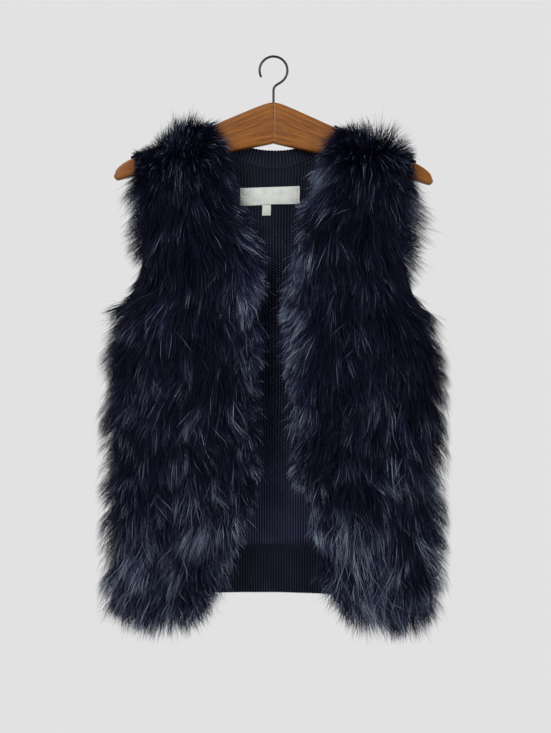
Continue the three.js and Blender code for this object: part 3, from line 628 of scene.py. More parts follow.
# Shares of the length at which a strand has points, and how wide it is there.
STRAND_LEVELS = np.array([0.0, 0.3, 0.65, 1.0])
STRAND_PROFILE = np.array([1.0, 0.95, 0.7, 0.0])
# Metres: the pitch of the tiers of painted highlight across the locks, how uneven the trimmed tips are, and how far
# strands sway.
TIER_PITCH = 0.062
TRIM_BLUR = 0.006
SWAY = 0.0016
CLUMP_CURVE = 1.4  # above 1, strands of a lock meet nearer to their tips
# Degrees that locks, wisps, strands and stray strands turn from the lie of the pile, about.
LOCK_WANDER, WISP_TURN, STRAND_TURN, STRAY_TURN = 24, 11, 8, 22
LOCK_GATHER = 0.35  # how far a lock's wisps are drawn together
ROLL_SIDE = np.array([0.35, 0.0, 0.2])  # strands show their flat side outwards, leaned this way
# Painted sheen: the pile is painted paler where it turns over each front edge, more on the right front, whose edge
# faces the key light.
TURNED_EDGE_SHEEN = {-1: 0.21, 1: 0.38}  # how much paler the pile is that turns over each front edge


class Front:
    """One front's backing cloth as a fine grid that can be read between its points."""

    ROWS, COLUMNS = 261, 121

    def __init__(self, side):
        self.side = side
        points = front_cloth(side, np.linspace(0, 1, self.COLUMNS), np.linspace(0, 1, self.ROWS))
        across, down, out = grid_frames(points, FRONT_OUT)
        self.fields = np.concatenate([points, across, down, out], axis=-1)
        self.widths = steps_of(points, 1).sum(axis=1)
        self.width = self.widths.mean()
        self.length = steps_of(points, 0).sum(axis=0).mean()

    def read(self, u, v):
        """Place and directions at shares across and down."""
        a, b = np.clip(u, 0, 1) * (self.COLUMNS - 1), np.clip(v, 0, 1) * (self.ROWS - 1)
        i = np.minimum(a.astype(int), self.COLUMNS - 2)
        j = np.minimum(b.astype(int), self.ROWS - 2)
        s, t = (a - i)[..., None], (b - j)[..., None]
        above, below = (self.fields[row, i] * (1 - s) + self.fields[row, i + 1] * s for row in (j, j + 1))
        return np.split(above * (1 - t) + below * t, 4, axis=-1)

    def row_width(self, v):
        return np.interp(v, np.linspace(0, 1, self.ROWS), self.widths)


def unit(vectors):
    return vectors / np.maximum(np.linalg.norm(vectors, axis=-1, keepdims=True), 1e-9)


def drift(u, v, seed):
    """A slow, repeatable wander from -1 to 1 over the cloth, in waves 60 to 150 mm long."""
    rng = np.random.default_rng(seed)
    wide, tall, waves = 0.19, 0.64, 7
    total = 0
    for _ in range(waves):
        angle, wave = rng.uniform(0, 2 * math.pi), rng.uniform(0.06, 0.15)
        phase = rng.uniform(0, 2 * math.pi)
        along = u * wide * math.cos(angle) + v * tall * math.sin(angle)
        total = total + np.sin(2 * math.pi * along / wave + phase)
    return total / 3.2


def lie_of_pile(front, u, v, turn):
    """The direction that pile grows in: down, fanned to both edges, and turning over the top of the shoulder."""
    _, across, down, out = front.read(u, v)
    at_side = smooth(u, 0.8, 1.0)[..., None]
    across = unit(across * (1 - at_side) + np.array([front.side, 0.0, 0.0]) * at_side)
    fan = -pile_inward(v) * (1 - smooth(u, 0.0, 0.4)) + pile_outward(v) * smooth(u, 0.5, 1.0)
    angle = np.radians(fan + turn)[..., None]
    combed = down * np.cos(angle) + across * np.sin(angle)
    # Near the shoulder seam, wisps that stand up and wisps that fall forward are mixed.
    v = np.maximum(v + 0.0011 * turn * (1 - smooth(v, 0.08, 0.14)), 0)
    neckward = 1 - smooth(u, 0.0, 0.2)
    over = 22 + 80 * neckward + 50 * smooth(u, 0.8, 1.0) + 120 * smooth(v, 0.0, 0.085) + 0.6 * turn
    over = np.radians(over)[..., None]
    aside = 1.5 * smooth(u, 0.45, 1.05) - 0.5 * (1 - smooth(u, 0.1, 0.4)) - 0.9 * neckward + turn / 60
    upward, forward = np.array([0.0, 0.0, 1.0]), np.array([0.0, -1.0, 0.0])
    standing = unit(upward * np.cos(over) + forward * np.sin(over) + across * aside[..., None])
    fallen = smooth(v, 0.02, 0.085)[..., None]
    way = unit(standing * (1 - fallen) + combed * fallen)
    turned = -across * (1 - smooth(u, 0.0, 0.05))[..., None] + down * smooth(v, 0.965, 1.0)[..., None]
    return way, unit(out + 0.7 * turned)


def pile_reach(side, u, v):
    """The pile's length at a place: cropped at the turned edges."""
    at_side = smooth(u, 0.72, 1.0)
    cropped = 1 + (pile_edge(v) - 1) * (1 - smooth(u, 0.0, 0.16))
    standing = 1 + (shoulder_pile[side](u) - 1) * (1 - smooth(v, 0.02, 0.09))
    return (pile_length(v) * (1 - at_side) + pile_side[side](v) * at_side) * cropped * standing


def strands(front, locks, settings, seed):
    """Guide every strand of the locks: places at each level, half widths, paleness and a number of its own.

    Each lock parts into a few wisps. A strand is drawn to its wisp's guide, and the guides towards the lock's middle.
    """
    rng = np.random.default_rng(seed)
    u0, v0 = (place[:, None] for place in locks)
    count, each, wisps = len(u0), settings.strands_per_lock, settings.wisps_per_lock
    ground = smooth(v0, 0.02, 0.13)

    def around(u, v, radius, spin):
        """Places at a radius from others, folded back where they would leave the cloth."""
        u = np.abs(u + radius * np.cos(spin) / front.row_width(v0))
        v = np.abs(v + radius * np.sin(spin) / front.length)
        return 1 - np.abs(1 - u), 1 - np.abs(1 - v)

    at_side = smooth(u0, 0.75, 1)
    lock_turn = LOCK_WANDER * drift(u0, v0, seed + 1) * (1 - 0.5 * at_side)
    lock_turn = lock_turn + rng.normal(0, 1, (count, 1)) * (8 + 7 * at_side)
    lock_long = settings.pile_length * (1 + rng.uniform(-1, 1, (count, 1)) * (0.15 + 0.13 * at_side))
    lock_lift = rng.uniform(0.35, 0.85, (count, 1)) * (0.25 + 0.75 * ground)
    # The tiers are bands of painted highlight lower down; the drift and the random draws are the locks' random tone.
    tiers = np.sin(2 * math.pi * v0 * front.length / TIER_PITCH + 2.5 * drift(u0, v0, seed + 3)) * smooth(v0, 0.4, 0.7)
    lively = 1 + 0.27 * smooth(v0, 0.35, 0.7)
    patch = lively * (0.09 * drift(u0, v0, seed + 2) + 0.04 * tiers + 0.22 * rng.uniform(0, 1, (count, 1)) ** 2 - 0.1)

    wisp_spin = (np.arange(wisps) + rng.uniform(0, 1, (count, 1))) * 2 * math.pi / wisps
    wisp_u, wisp_v = around(u0, v0, 0.5 * settings.lock_radius, wisp_spin)
    wisp_turn = lock_turn + rng.normal(0, WISP_TURN, (count, wisps))
    wisp_long = lock_long * rng.uniform(0.78, 1.1, (count, wisps))
    wisp_lift = lock_lift * rng.uniform(0.75, 1.2, (count, wisps))
    wisp_pale = patch + lively * (0.4 * rng.uniform(0, 1, (count, wisps)) ** 2.5 - 0.08)

    wisp = np.minimum((np.arange(each) * wisps) // each, wisps - 1)
    shape = (count, each)
    radius = 0.62 * settings.lock_radius * np.sqrt(rng.uniform(0, 1, shape))
    spin = rng.uniform(0, 2 * math.pi, shape)
    u, v = around(wisp_u[:, wisp], wisp_v[:, wisp], radius, spin)
    stray = rng.uniform(0, 1, shape) < settings.stray_share
    turn = wisp_turn[:, wisp] + rng.normal(0, 1, shape) * np.where(stray, STRAY_TURN, STRAND_TURN)
    way, out = lie_of_pile(front, u, v, turn)
    root = front.read(u, v)[0] + out * FUR_BACKING * MM
    reach = pile_reach(front.side, u, v) * rng.uniform(0.7, 1.1, shape)
    longness = wisp_long[:, wisp] * reach * np.where(stray, 1.1, 1.0)
    lift = wisp_lift[:, wisp] * rng.uniform(0.6, 1.2, shape) + np.where(stray, 0.1, 0)
    clump = np.where(stray, rng.uniform(0, 0.15, shape), rng.uniform(0.3, 0.8, shape)) * (0.35 + 0.65 * ground)

    s = STRAND_LEVELS[None, None, :, None]
    ahead, up = s - 0.06 * s**2, s - 0.62 * s**2
    drop = 0.1 + 0.3 * smooth(v0, 0.0, 0.05) * (1 - ground)
    sag = np.array([0.0, 0.0, -1.0]) * drop[..., None, None] * s**2

    def grown(base, long, direction, outward, raised):
        curve = direction[:, :, None, :] * ahead + outward[:, :, None, :] * up * raised[..., None, None] + sag
        return base[:, :, None, :] + long[..., None, None] * curve

    own = grown(root, longness, way, out, lift)
    guide_way, guide_out = lie_of_pile(front, wisp_u, wisp_v, wisp_turn)
    guide_root = front.read(wisp_u, wisp_v)[0] + guide_out * FUR_BACKING * MM
    guide = grown(guide_root, wisp_long * pile_reach(front.side, wisp_u, wisp_v), guide_way, guide_out, wisp_lift)
    guide = (guide + LOCK_GATHER * s**CLUMP_CURVE * (guide.mean(axis=1, keepdims=True) - guide))[:, wisp]
    pull = clump[..., None, None] * s**CLUMP_CURVE
    path = own * (1 - pull) + guide * pull
    # The brushed pile is trimmed aside, in front and at the foot, where a strand would reach too far.
    limits = np.array([settings.trim_reach, settings.trim_front, settings.trim_foot])
    tip, start = (points * np.array([front.side, -1, -1]) for points in (path[:, :, -1], root))
    beyond = np.maximum(tip - limits + rng.uniform(0, TRIM_BLUR, shape)[..., None], 0)
    kept = (1 - beyond / np.maximum(tip - start, 1e-4)).min(axis=-1)
    path = root[:, :, None, :] + (path - root[:, :, None, :]) * np.clip(kept, 0.2, 1)[..., None, None]
    leaning = unit(out + ROLL_SIDE)[:, :, None, :]
    sway = rng.normal(0, SWAY, shape)[..., None, None]
    waves, phase = rng.uniform(0.5, 1.1, shape)[..., None, None], rng.uniform(0, 1, shape)[..., None, None]
    sway = sway * np.sin(2 * math.pi * (s * waves + phase))
    path = path + unit(np.cross(way[:, :, None, :], leaning)) * sway * s

    along = np.empty_like(path)
    along[:, :, :-1] = path[:, :, 1:] - path[:, :, :-1]
    along[:, :, -1] = along[:, :, -2]
    along = unit(along)
    flat = unit(np.cross(along, leaning))
    raised = np.cross(flat, along)
    roll = rng.normal(0, 0.8, shape)[..., None, None]
    # edge is the painted sheen along the turned front edges.
    edge = TURNED_EDGE_SHEEN[front.side] * (1 - smooth(u, 0.05, 0.26)) * smooth(v, 0.03, 0.1)
    # tone is painted light by height and the painted sheen of the turned edges, with the wisps' random tone.
    tone = pile_painted_light(v) + edge * (1 - 0.9 * smooth(v, 0.4, 0.65)) + wisp_pale[:, wisp]
    # Guard hairs are wider, and painted pale towards the tip as sheen; there are more of them in paler wisps.
    is_guard = rng.uniform(0, 1, shape) < 0.14 + 0.42 * np.clip(tone, 0, 0.5)
    guard = np.where(is_guard, rng.uniform(0.15, 0.65, shape), 0.0)
    width = settings.strand_width * rng.uniform(0.6, 1.2, shape) * np.where(stray, 0.85, 1.0) * (1 + 0.4 * guard)
    profile = STRAND_PROFILE[None, None, :, None]
    half = (flat * np.cos(roll) + raised * np.sin(roll)) * width[..., None, None] * profile / 2

    # Strands are painted darker at the root, as shade deep in the pile, and paler at the tip, as a painted highlight.
    pale = (tone - 0.012)[..., None] + (0.2 * STRAND_LEVELS**1.5 - 0.1)
    pale = pale + guard[..., None] * (0.12 + 0.76 * STRAND_LEVELS**1.4)
    return path, half, pale, rng.uniform(0, 1, shape)


def strand_mesh(name, path, half, pale, chance, material):
    """One joined mesh of thin tapered strands: quads up to a pointed tip."""
    count, levels = path.shape[0] * path.shape[1], path.shape[2]
    path, half = path.reshape(count, levels, 3), half.reshape(count, levels, 3)
    pale, chance = pale.reshape(count, levels), chance.reshape(count)
    pairs = np.stack([path[:, :-1] - half[:, :-1], path[:, :-1] + half[:, :-1]], axis=2).reshape(count, -1, 3)
    points = np.concatenate([pairs, path[:, -1:]], axis=1)
    each = points.shape[1]
    first = (np.arange(count) * each)[:, None]
    quads = np.array([[2 * k, 2 * k + 1, 2 * k + 3, 2 * k + 2] for k in range(levels - 2)]).ravel()
    corners = np.concatenate([quads, [each - 3, each - 2, each - 1]])
    loops = (first + corners[None, :]).ravel()
    sizes = [4] * (levels - 2) + [3]
    starts = np.concatenate([[0], np.cumsum(sizes)[:-1]])
    loop_starts = (np.arange(count)[:, None] * len(corners) + starts[None, :]).ravel()

    mesh = bpy.data.meshes.new(name)
    mesh.vertices.add(count * each)
    mesh.vertices.foreach_set("co", points.ravel())
    mesh.loops.add(len(loops))
    mesh.loops.foreach_set("vertex_index", loops.astype(np.int32))
    mesh.polygons.add(len(loop_starts))
    mesh.polygons.foreach_set("loop_start", loop_starts.astype(np.int32))
    mesh.update(calc_edges=True)
    smooth_faces(mesh)

    level_of = np.concatenate([np.repeat(np.arange(levels - 1), 2), [levels - 1]])
    attribute = mesh.attributes.new("pale", "FLOAT", "POINT")
    attribute.data.foreach_set("value", np.clip(pale[:, level_of], 0, 1).ravel().astype(np.float32))
    across = np.concatenate([np.tile([0.0, 1.0], levels - 1), [0.5]])
    # Each strand lies somewhere of its own on the map, so that its streak is its own.
    u = chance[:, None] * 40 + 0.02 * across[None, :]
    v = np.broadcast_to(level_of / (levels - 1), u.shape)
    uv = np.stack([u, v], axis=-1).reshape(-1, 2)[loops]
    layer = mesh.uv_layers.new(name="UVMap")
    layer.data.foreach_set("uv", uv.ravel().astype(np.float32))
    mesh.materials.append(material)
    return new_object(name, mesh)


def lock_places(front, spacing, seed):
    """Jittered, staggered places for the locks, row by row down the cloth, with fuller rows along its edges."""
    rng = np.random.default_rng(seed)
    u, v = [], []
    rows = int(front.length / spacing)
    for j in range(rows + 1):
        share = j / rows
        columns = max(2, int(round(front.row_width(share) / spacing)))
        i = np.arange(columns + 1)
        u.append((i + 0.5 * (j % 2) + rng.uniform(-0.4, 0.4, len(i))) / columns)
        v.append(share + rng.uniform(-0.4, 0.4, len(i)) / rows)
    down = np.linspace(0.02, 1, int(front.length / (0.75 * spacing)))
    over = np.linspace(0, 1, int(front.width / (0.6 * spacing)))
    rows_over = [(over, over, level) for level in (0.01, 0.03, 0.05, 0.07, 0.95, 0.972, 0.99)]
    for along, at_u, at_v in [(down, 0.015, down), (down, 0.985, down), *rows_over]:
        u.append(at_u + rng.uniform(-0.015, 0.015, len(along)))
        v.append(at_v + rng.uniform(-0.008, 0.008, len(along)))
    return np.clip(np.concatenate(u), 0, 1), np.clip(np.concatenate(v), 0, 1)


# ---- Settings

def length(name, description, default):
    return FloatProperty(name=name, description=description, default=default, subtype="DISTANCE", unit="LENGTH")


def hex_colour(name, where, default):
    return StringProperty(name=name, description=f"sRGB hex colour {where}", default=default)


class FurSettings(bpy.types.PropertyGroup):
    pile_length: length("Pile length", "Length of most strands", 0.048)
    lock_spacing: length("Lock spacing", "Distance between locks", 0.0115)
    lock_radius: length("Lock radius", "Half the width of a lock at its root", 0.0095)
    wisps_per_lock: IntProperty(name="Wisps per lock", description="Wisps that each lock parts into", default=5, min=1)
    strands_per_lock: IntProperty(name="Strands per lock", description="Strands in each lock", default=62, min=4)
    strand_width: length("Strand width", "Width of a strand; several fibres drawn as one", 0.0005)
    stray_share: FloatProperty(
        name="Stray share", description="Share of strands that leave their lock", default=0.14, min=0, max=1,
        subtype="FACTOR",
    )
    trim_reach: length("Trim reach", "Furthest that the tips reach aside from the middle", 0.244)
    trim_front: length("Trim front", "Furthest that the tips reach to the front", 0.072)
    trim_foot: length("Trim foot", "Furthest that the tips reach below the hang point", 0.798)
    # The root colour is painted shade deep in the pile, and the tip colour the painted sheen of the palest tips.
    root_painted_shade: hex_colour("Root colour", "deep in the pile", "#020208")
    dark_colour: hex_colour("Dark colour", "of most strands", "#040513")
    middle_colour: hex_colour("Middle colour", "of the paler strands", "#191d34")
    tip_painted_sheen: hex_colour("Tip colour", "of the palest tips", "#8b95a7")


class KnitSettings(bpy.types.PropertyGroup):
    rib_pitch: length("Rib pitch", "Width of one column of the back's knit", 0.0036)
    rib_relief: length("Rib relief", "How far a column stands out", 0.0009)
    band_pitch: length("Band pitch", "Width of one rib of the neck and armhole bands", 0.0048)
    band_relief: length("Band relief", "How far a rib of those bands stands out", 0.0008)
    hem_pitch: length("Hem pitch", "Width of one rib of the hem band", 0.0036)
    hem_relief: length("Hem relief", "How far a rib of the hem band stands out", 0.0006)
    yarn_colour: hex_colour("Yarn colour", "of the yarn", "#141624")
    # Lit and shaded copies of the yarn's colour: painted light on top of the stitches and painted shade between them.
    yarn_painted_light: hex_colour("Yarn light", "on top of the stitches", "#2f3149")
    yarn_painted_shade: hex_colour("Yarn dark", "between the stitches", "#06070b")


class HangerSettings(bpy.types.PropertyGroup):
    thick: length("Thickness", "Thickness of the wood", 0.013)
    wire: length("Wire", "Diameter of the hook's wire", 0.0032)
    wood_colour: hex_colour("Wood colour", "of the stained wood", "#61370c")
    grain_dark: hex_colour("Grain dark", "of the dark grain", "#532b09")
    grain_light: hex_colour("Grain light", "of the light grain", "#6e4210")


class StageSettings(bpy.types.PropertyGroup):
    backdrop: FloatVectorProperty(
        name="Backdrop", description="Linear colour of the room", default=(0.765, 0.76, 0.762), subtype="COLOR", size=3,
    )
    key_power: FloatProperty(name="Key light", description="Power of the large soft light", default=68, unit="POWER")
    fill_power: FloatProperty(
        name="Fill light", description="Power of the light from the other side", default=26, unit="POWER",
    )
    floor_drop: length("Floor drop", "Floor below the hang point", 1.8)
    floor_reach: length("Floor reach", "Radius of the floor", 2.5)


# ---- Operators

def area_light(name, place, size, power):
    """A round soft light that is aimed at the middle of the vest."""
    data = bpy.data.lights.new(name, "AREA")
    data.shape = "DISK"
    data.size = size
    data.energy = power
    lamp = bpy.data.objects.new(name, data)
    bpy.context.scene.collection.objects.link(lamp)
    lamp.location = place
    lamp.rotation_euler = (VEST_MIDDLE - Vector(place)).to_track_quat("-Z", "Y").to_euler()


class VEST_OT_stage(bpy.types.Operator):
    """Add the camera, the soft lights, the pale room and the floor"""

    bl_idname = "vest.stage"
    bl_label = "Stage"

    def execute(self, context):
        scene, settings = context.scene, context.scene.vest_stage
        camera = bpy.data.objects.new("camera", bpy.data.cameras.new("camera"))
        scene.collection.objects.link(camera)
        camera.location = CAMERA_PLACE
        camera.rotation_euler = (math.pi / 2, 0, 0)
        camera.data.sensor_width = CAMERA_SENSOR
        camera.data.lens = CAMERA_LENS
        scene.camera = camera

        area_light("key", (-1.1, -1.9, 0.9), 1.6, settings.key_power)
        area_light("fill", (1.5, -1.5, -0.3), 1.4, settings.fill_power)
        area_light("behind", (0.6, 1.9, 0.8), 1.6, settings.fill_power)
        world = bpy.data.worlds.new("room")
        scene.world = world
        world.use_nodes = True
        room = world.node_tree.nodes["Background"].inputs
        room["Color"].default_value = (*settings.backdrop, 1)
        room["Strength"].default_value = 1.0
        scene.view_settings.view_transform = "Standard"

        bm = bmesh.new()
        bmesh.ops.create_circle(bm, cap_ends=True, segments=96, radius=settings.floor_reach)
        bmesh.ops.translate(bm, verts=bm.verts[:], vec=(0, 0, -settings.floor_drop))
        paint = new_material("Matt floor paint", Base_Color=linear("#bdbdbd"), Roughness=0.9)[0]
        floor = finish_bmesh(bm, "floor", paint, False)
        return {"FINISHED"}


class VEST_OT_fronts(bpy.types.Operator):
    """Cut the backing cloth of both faux fur fronts"""

    bl_idname = "vest.fronts"
    bl_label = "Front backings"

    def execute(self, context):
        material = material_once("Napped knit backing", backing_material)
        across = np.linspace(0, 1, 29)
        down = np.concatenate([np.linspace(0, 0.03, 10), np.linspace(0.03, 1, 72)[1:]])
        for name, side in SIDES:
            cloth = front_cloth(side, across, down)
            out = grid_frames(cloth, FRONT_OUT)[2]
            piece = shell(f"backing_{name}", cloth + out * FUR_BACKING * MM, cloth, FRONT_SIZE, material)
            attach(piece, "root")
            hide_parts(f"fur_front_{name}")
        return {"FINISHED"}


class VEST_OT_fur(bpy.types.Operator):
    """Grow the long pile on both fronts, lock by lock"""

    bl_idname = "vest.fur"
    bl_label = "Fur"

    def execute(self, context):
        settings = context.scene.vest_fur
        material = material_once("Modacrylic long pile", pile_material)
        for name, side in SIDES:
            front, seed = Front(side), FUR_SEEDS[side]
            u, v = lock_places(front, settings.lock_spacing, seed)
            order = np.argsort(v, kind="stable")
            for k, (part, share) in enumerate(zip(FUR_PARTS, np.array_split(order, len(FUR_PARTS)))):
                guided = strands(front, (u[share], v[share]), settings, seed + 7 * k)
                piece = strand_mesh(f"fur_{name}_{part}", *guided, material)
                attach(piece, "root")
                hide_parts(f"fur_front_{name}")
        return {"FINISHED"}


def ribbed(points, outward, count, relief, set_out=0.0, fade=1.0):
    """Outer and inner grids of a rib knit on a cloth, and its grooves: a rib on one face is a groove on the other."""
    out = grid_frames(points, outward)[2]
    wave = np.cos(np.linspace(0, 2 * math.pi * count, points.shape[1]))
    shift = (relief * wave * fade)[..., None]
    outer = points + out * (set_out + KNIT_THICK * MM - relief + shift)
    inner = points + out * (set_out + shift)
    return outer, inner, (1 - wave * fade) / 2


class VEST_OT_back(bpy.types.Operator):
    """Knit the back, from the neckline and shoulders to the hem band"""

    bl_idname = "vest.back"
    bl_label = "Knit back"

    def execute(self, context):
        settings = context.scene.vest_knit
        count = round(RIBBED_WIDTH / settings.rib_pitch)
        across = np.linspace(-1, 1, 4 * count + 1)
        down = np.concatenate([np.linspace(0, 0.03, 8), np.linspace(0.03, 1, 38)[1:]])
        cloth = back_cloth(across, down)
        points = placed(cloth[..., 0], cloth[..., 1], cloth[..., 2])
        outer, inner, grooves = ribbed(points, BACK_OUT, count, settings.rib_relief)
        piece = shell("back_knit", outer, inner, BACK_SIZE, material_once("Tuck-stitch knit", tuck_knit), grooves)
        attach(piece, "root")
        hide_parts("knit_back")
        return {"FINISHED"}


def band(name, upper, lower, count, size, node, seam, scallop, relief):
    """A rib band between two edges in millimetres: one edge is linked on in a ridge, the other is scalloped."""
    rows = max(5, round(size[1] / BAND_ROW))
    share = np.linspace(0, 1, 8 * count + 1)
    ends = [spaced(edge[None], share)[0] for edge in (upper, lower)]
    level = np.concatenate([[0, 0.25 / rows], np.linspace(0.5 / rows, 1 - 0.5 / rows, rows), [1 - 0.25 / rows, 1]])
    t = level[:, None, None]
    grid = ends[0][None] * (1 - t) + ends[1][None] * t
    from_seam = (level if seam == "upper" else 1 - level)[:, None]
    away = 1 if seam == "lower" else -1
    ripple = (1 - np.cos(2 * math.pi * count * share))[None, :] / 2
    grid[..., 2] -= away * scallop * ripple * smooth(from_seam, 0.7, 1)
    points = placed(grid[..., 0], grid[..., 1], grid[..., 2])
    # The band is linked to the cloth in a soft roll, without ribs.
    roll = 1 - smooth(from_seam * size[1] / MM, 0.4 * SEAM_ROLL, SEAM_ROLL)
    outer, inner, grooves = ribbed(points, BAND_OUT, count, relief, BAND_SET_OUT * MM, 1 - 0.75 * roll)
    inner = inner - grid_frames(points, BAND_OUT)[2] * (SEAM_RIDGE * MM * roll[..., None])
    piece = shell(name, outer, inner, size, material_once("Rib knit", rib_knit), grooves)
    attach(piece, "root")
    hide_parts(node)


class VEST_OT_bands(bpy.types.Operator):
    """Knit the rib bands of the hem, the neck and both armholes"""

    bl_idname = "vest.bands"
    bl_label = "Rib bands"

    def execute(self, context):
        settings = context.scene.vest_knit
        samples = np.sin(np.linspace(-0.5, 0.5, 401) * math.pi)

        def hem_edge(z):
            x = samples * hollow_half(-z)
            return on_cloth(x, np.full_like(x, z), "back")

        wide = HEM_AROUND * float(hollow_half(RIB_HEM_FOOT)) * MM
        size = (wide, (RIB_HEM_FOOT - RIB_HEM_TOP + SEAM_LAP) * MM)
        band(
            "hem_band", hem_edge(SEAM_LAP - RIB_HEM_TOP), hem_edge(-RIB_HEM_FOOT), round(wide / settings.hem_pitch),
            size, "hem_rib", "upper", HEM_SCALLOP, settings.hem_relief,
        )

        x = np.linspace(-NECK_END, NECK_END, 301)
        z = neckline(x, -NECK_RIB_FOOT_DROP, NECK_END, NECK_CURVE)
        lower = np.stack([x, hollow(x, z, "back"), z - SEAM_LAP], axis=-1)
        inner_x = x / NECK_END * (NECK_END - NECK_RIB_IN)
        inner_z = neckline(inner_x, NECK_RIB_HEIGHT - NECK_RIB_FOOT_DROP, NECK_END - NECK_RIB_IN, NECK_TOP_CURVE)
        upper = on_cloth(inner_x, inner_z, "back")
        count = round(NECK_BAND_SIZE[0] / settings.band_pitch)
        band(
            "neck_band", upper, lower, count, NECK_BAND_SIZE, "neck_rib", "lower", NECK_SCALLOP, settings.band_relief,
        )

        for name, side in SIDES:
            self.armhole(name, side, settings)
        return {"FINISHED"}

    def armhole(self, name, side, settings):
        """A band square to the armhole's edge, in line with the wood at the shoulder and rising at the underarm."""
        column = back_cloth([side], np.linspace(0, 1, 400))[:, 0]
        edge = column[-column[:, 2] < UNDERARM_DROP]
        base = spaced(edge[None], np.linspace(0, ARMHOLE_RIB_SHARE, 121))[0]
        share = np.linspace(0, 1, 121)[:, None]
        along = np.gradient(base, axis=0)
        level = unit(np.stack([-along[:, 2], side * along[:, 0]], axis=-1))
        first = unit(np.array([[1, -HANGER_TOP_SLOPE]]))
        last = np.array([[0.5, 0.9]])
        level = level + (first - level) * (1 - smooth(share, 0, 0.15))
        level = unit(level + (last - level) * smooth(share, 0.85, 1))
        edges = []
        for reach in (-0.5 * SEAM_LAP, EDGE_GAP + ARMHOLE_RIB_WIDTH):
            x = base[:, 0] + side * level[:, 0] * reach
            z = base[:, 2] + level[:, 1] * reach
            y = base[:, 1] if reach < 0 else hollow(x, z, "back")
            edges.append(np.stack([x, y, z], axis=-1))
        wide = float(steps_of(base, 0).sum()) * MM
        count = round(wide / settings.band_pitch)
        band(
            f"armhole_band_{name}", edges[1], edges[0], count, (wide, ARMHOLE_BAND_HIGH), f"armhole_rib_{name}",
            "lower", ARMHOLE_SCALLOP, settings.band_relief,
        )


class VEST_OT_labels(bpy.types.Operator):
    """Sew the bare woven label and the bare size tab inside the back"""

    bl_idname = "vest.labels"
    bl_label = "Labels"

    def execute(self, context):
        tape = material_once("Woven label tape", tape_material)
        self.tag("label_tape", LABEL_SIZE, (-5.3, 175.6), 1.6, 0.05, tape, "label")
        self.tag("size_tab_tape", TAB_SIZE, (-9.9, 196.6), 0.7, 0.03, tape, "size_tab")
        return {"FINISHED"}

    def tag(self, name, size, place, lift, slope, material, node):
        """A tape of a size in metres, its top's middle at a place (aside, drop) in mm, lifted off the knit in mm."""
        wide, tall = size[0] / MM, size[1] / MM
        columns, rows = max(12, round(1.25 * wide)), max(8, round(tall))
        across = np.linspace(-0.5, 0.5, columns + 1)[None, :] * wide
        down = np.linspace(0, 1, rows + 1)[:, None] * tall
        # The middle bellies away from the knit, and the edges run in slight waves.
        belly = 0.5 * np.cos(across / wide * math.pi) * np.sin(down / tall * math.pi)
        z = -place[1] - down + slope * across + TILT * place[0] + 0.35 * np.sin(across / 9 + 1) * down / tall
        x = place[0] + across + 0.02 * down + 0.3 * np.sin(down / 4)
        x, z = np.broadcast_arrays(x, z)
        y = hollow(x, z, "back") - lift - belly
        # The ends are folded under and stitched down, which draws in a line across the tape, and the tape is painted
        # darker along it: painted shade.
        from_end = wide / 2 - np.abs(across)
        fold = 0.35 * (from_end < LABEL_FOLD)
        sewn = np.exp(-(((from_end - LABEL_FOLD) / 0.6) ** 2))[0] if node == "label" else np.zeros(columns + 1)
        near = placed(x, y - TAPE_THICK - fold + 0.3 * sewn, z)
        far = placed(x, y, z)
        piece = shell(name, near, far, size, material, sewn)
        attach(piece, "root")
        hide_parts(node)


def swept(name, rings, material, lengths):
    """A closed body through rings of places: each ring is pulled out of the last, and both ends are capped."""
    count = len(rings[0])
    bm = bmesh.new()
    ring = bmesh.ops.create_circle(bm, cap_ends=True, segments=count, radius=0.01)["verts"]
    uv = bm.loops.layers.uv.new("UVMap")
    edges = bm.edges[:]
    for k, places in enumerate(rings):
        if k:
            pulled = bmesh.ops.extrude_edge_only(bm, edges=edges)["geom"]
            ring = [g for g in pulled if isinstance(g, bmesh.types.BMVert)]
            edges = [g for g in pulled if isinstance(g, bmesh.types.BMEdge)]
        for vert, place in zip(ring, places):
            vert.co = place
    bmesh.ops.holes_fill(bm, edges=edges, sides=count)
    bmesh.ops.recalc_face_normals(bm, faces=bm.faces[:])
    bm.verts.index_update()
    middle = np.array(rings[len(rings) // 2])
    steps = np.linalg.norm(np.roll(middle, -1, axis=0) - middle, axis=1)
    around = np.cumsum(steps) - steps
    for face in bm.faces:
        places = [divmod(loop.vert.index, count) for loop in face.loops]
        wraps = max(p[1] for p in places) - min(p[1] for p in places) > count // 2
        for loop, (level, i) in zip(face.loops, places):
            loop[uv].uv = lengths[level], around[i] + (steps.sum() if wraps and i == 0 else 0)
    return finish_bmesh(bm, name, material)


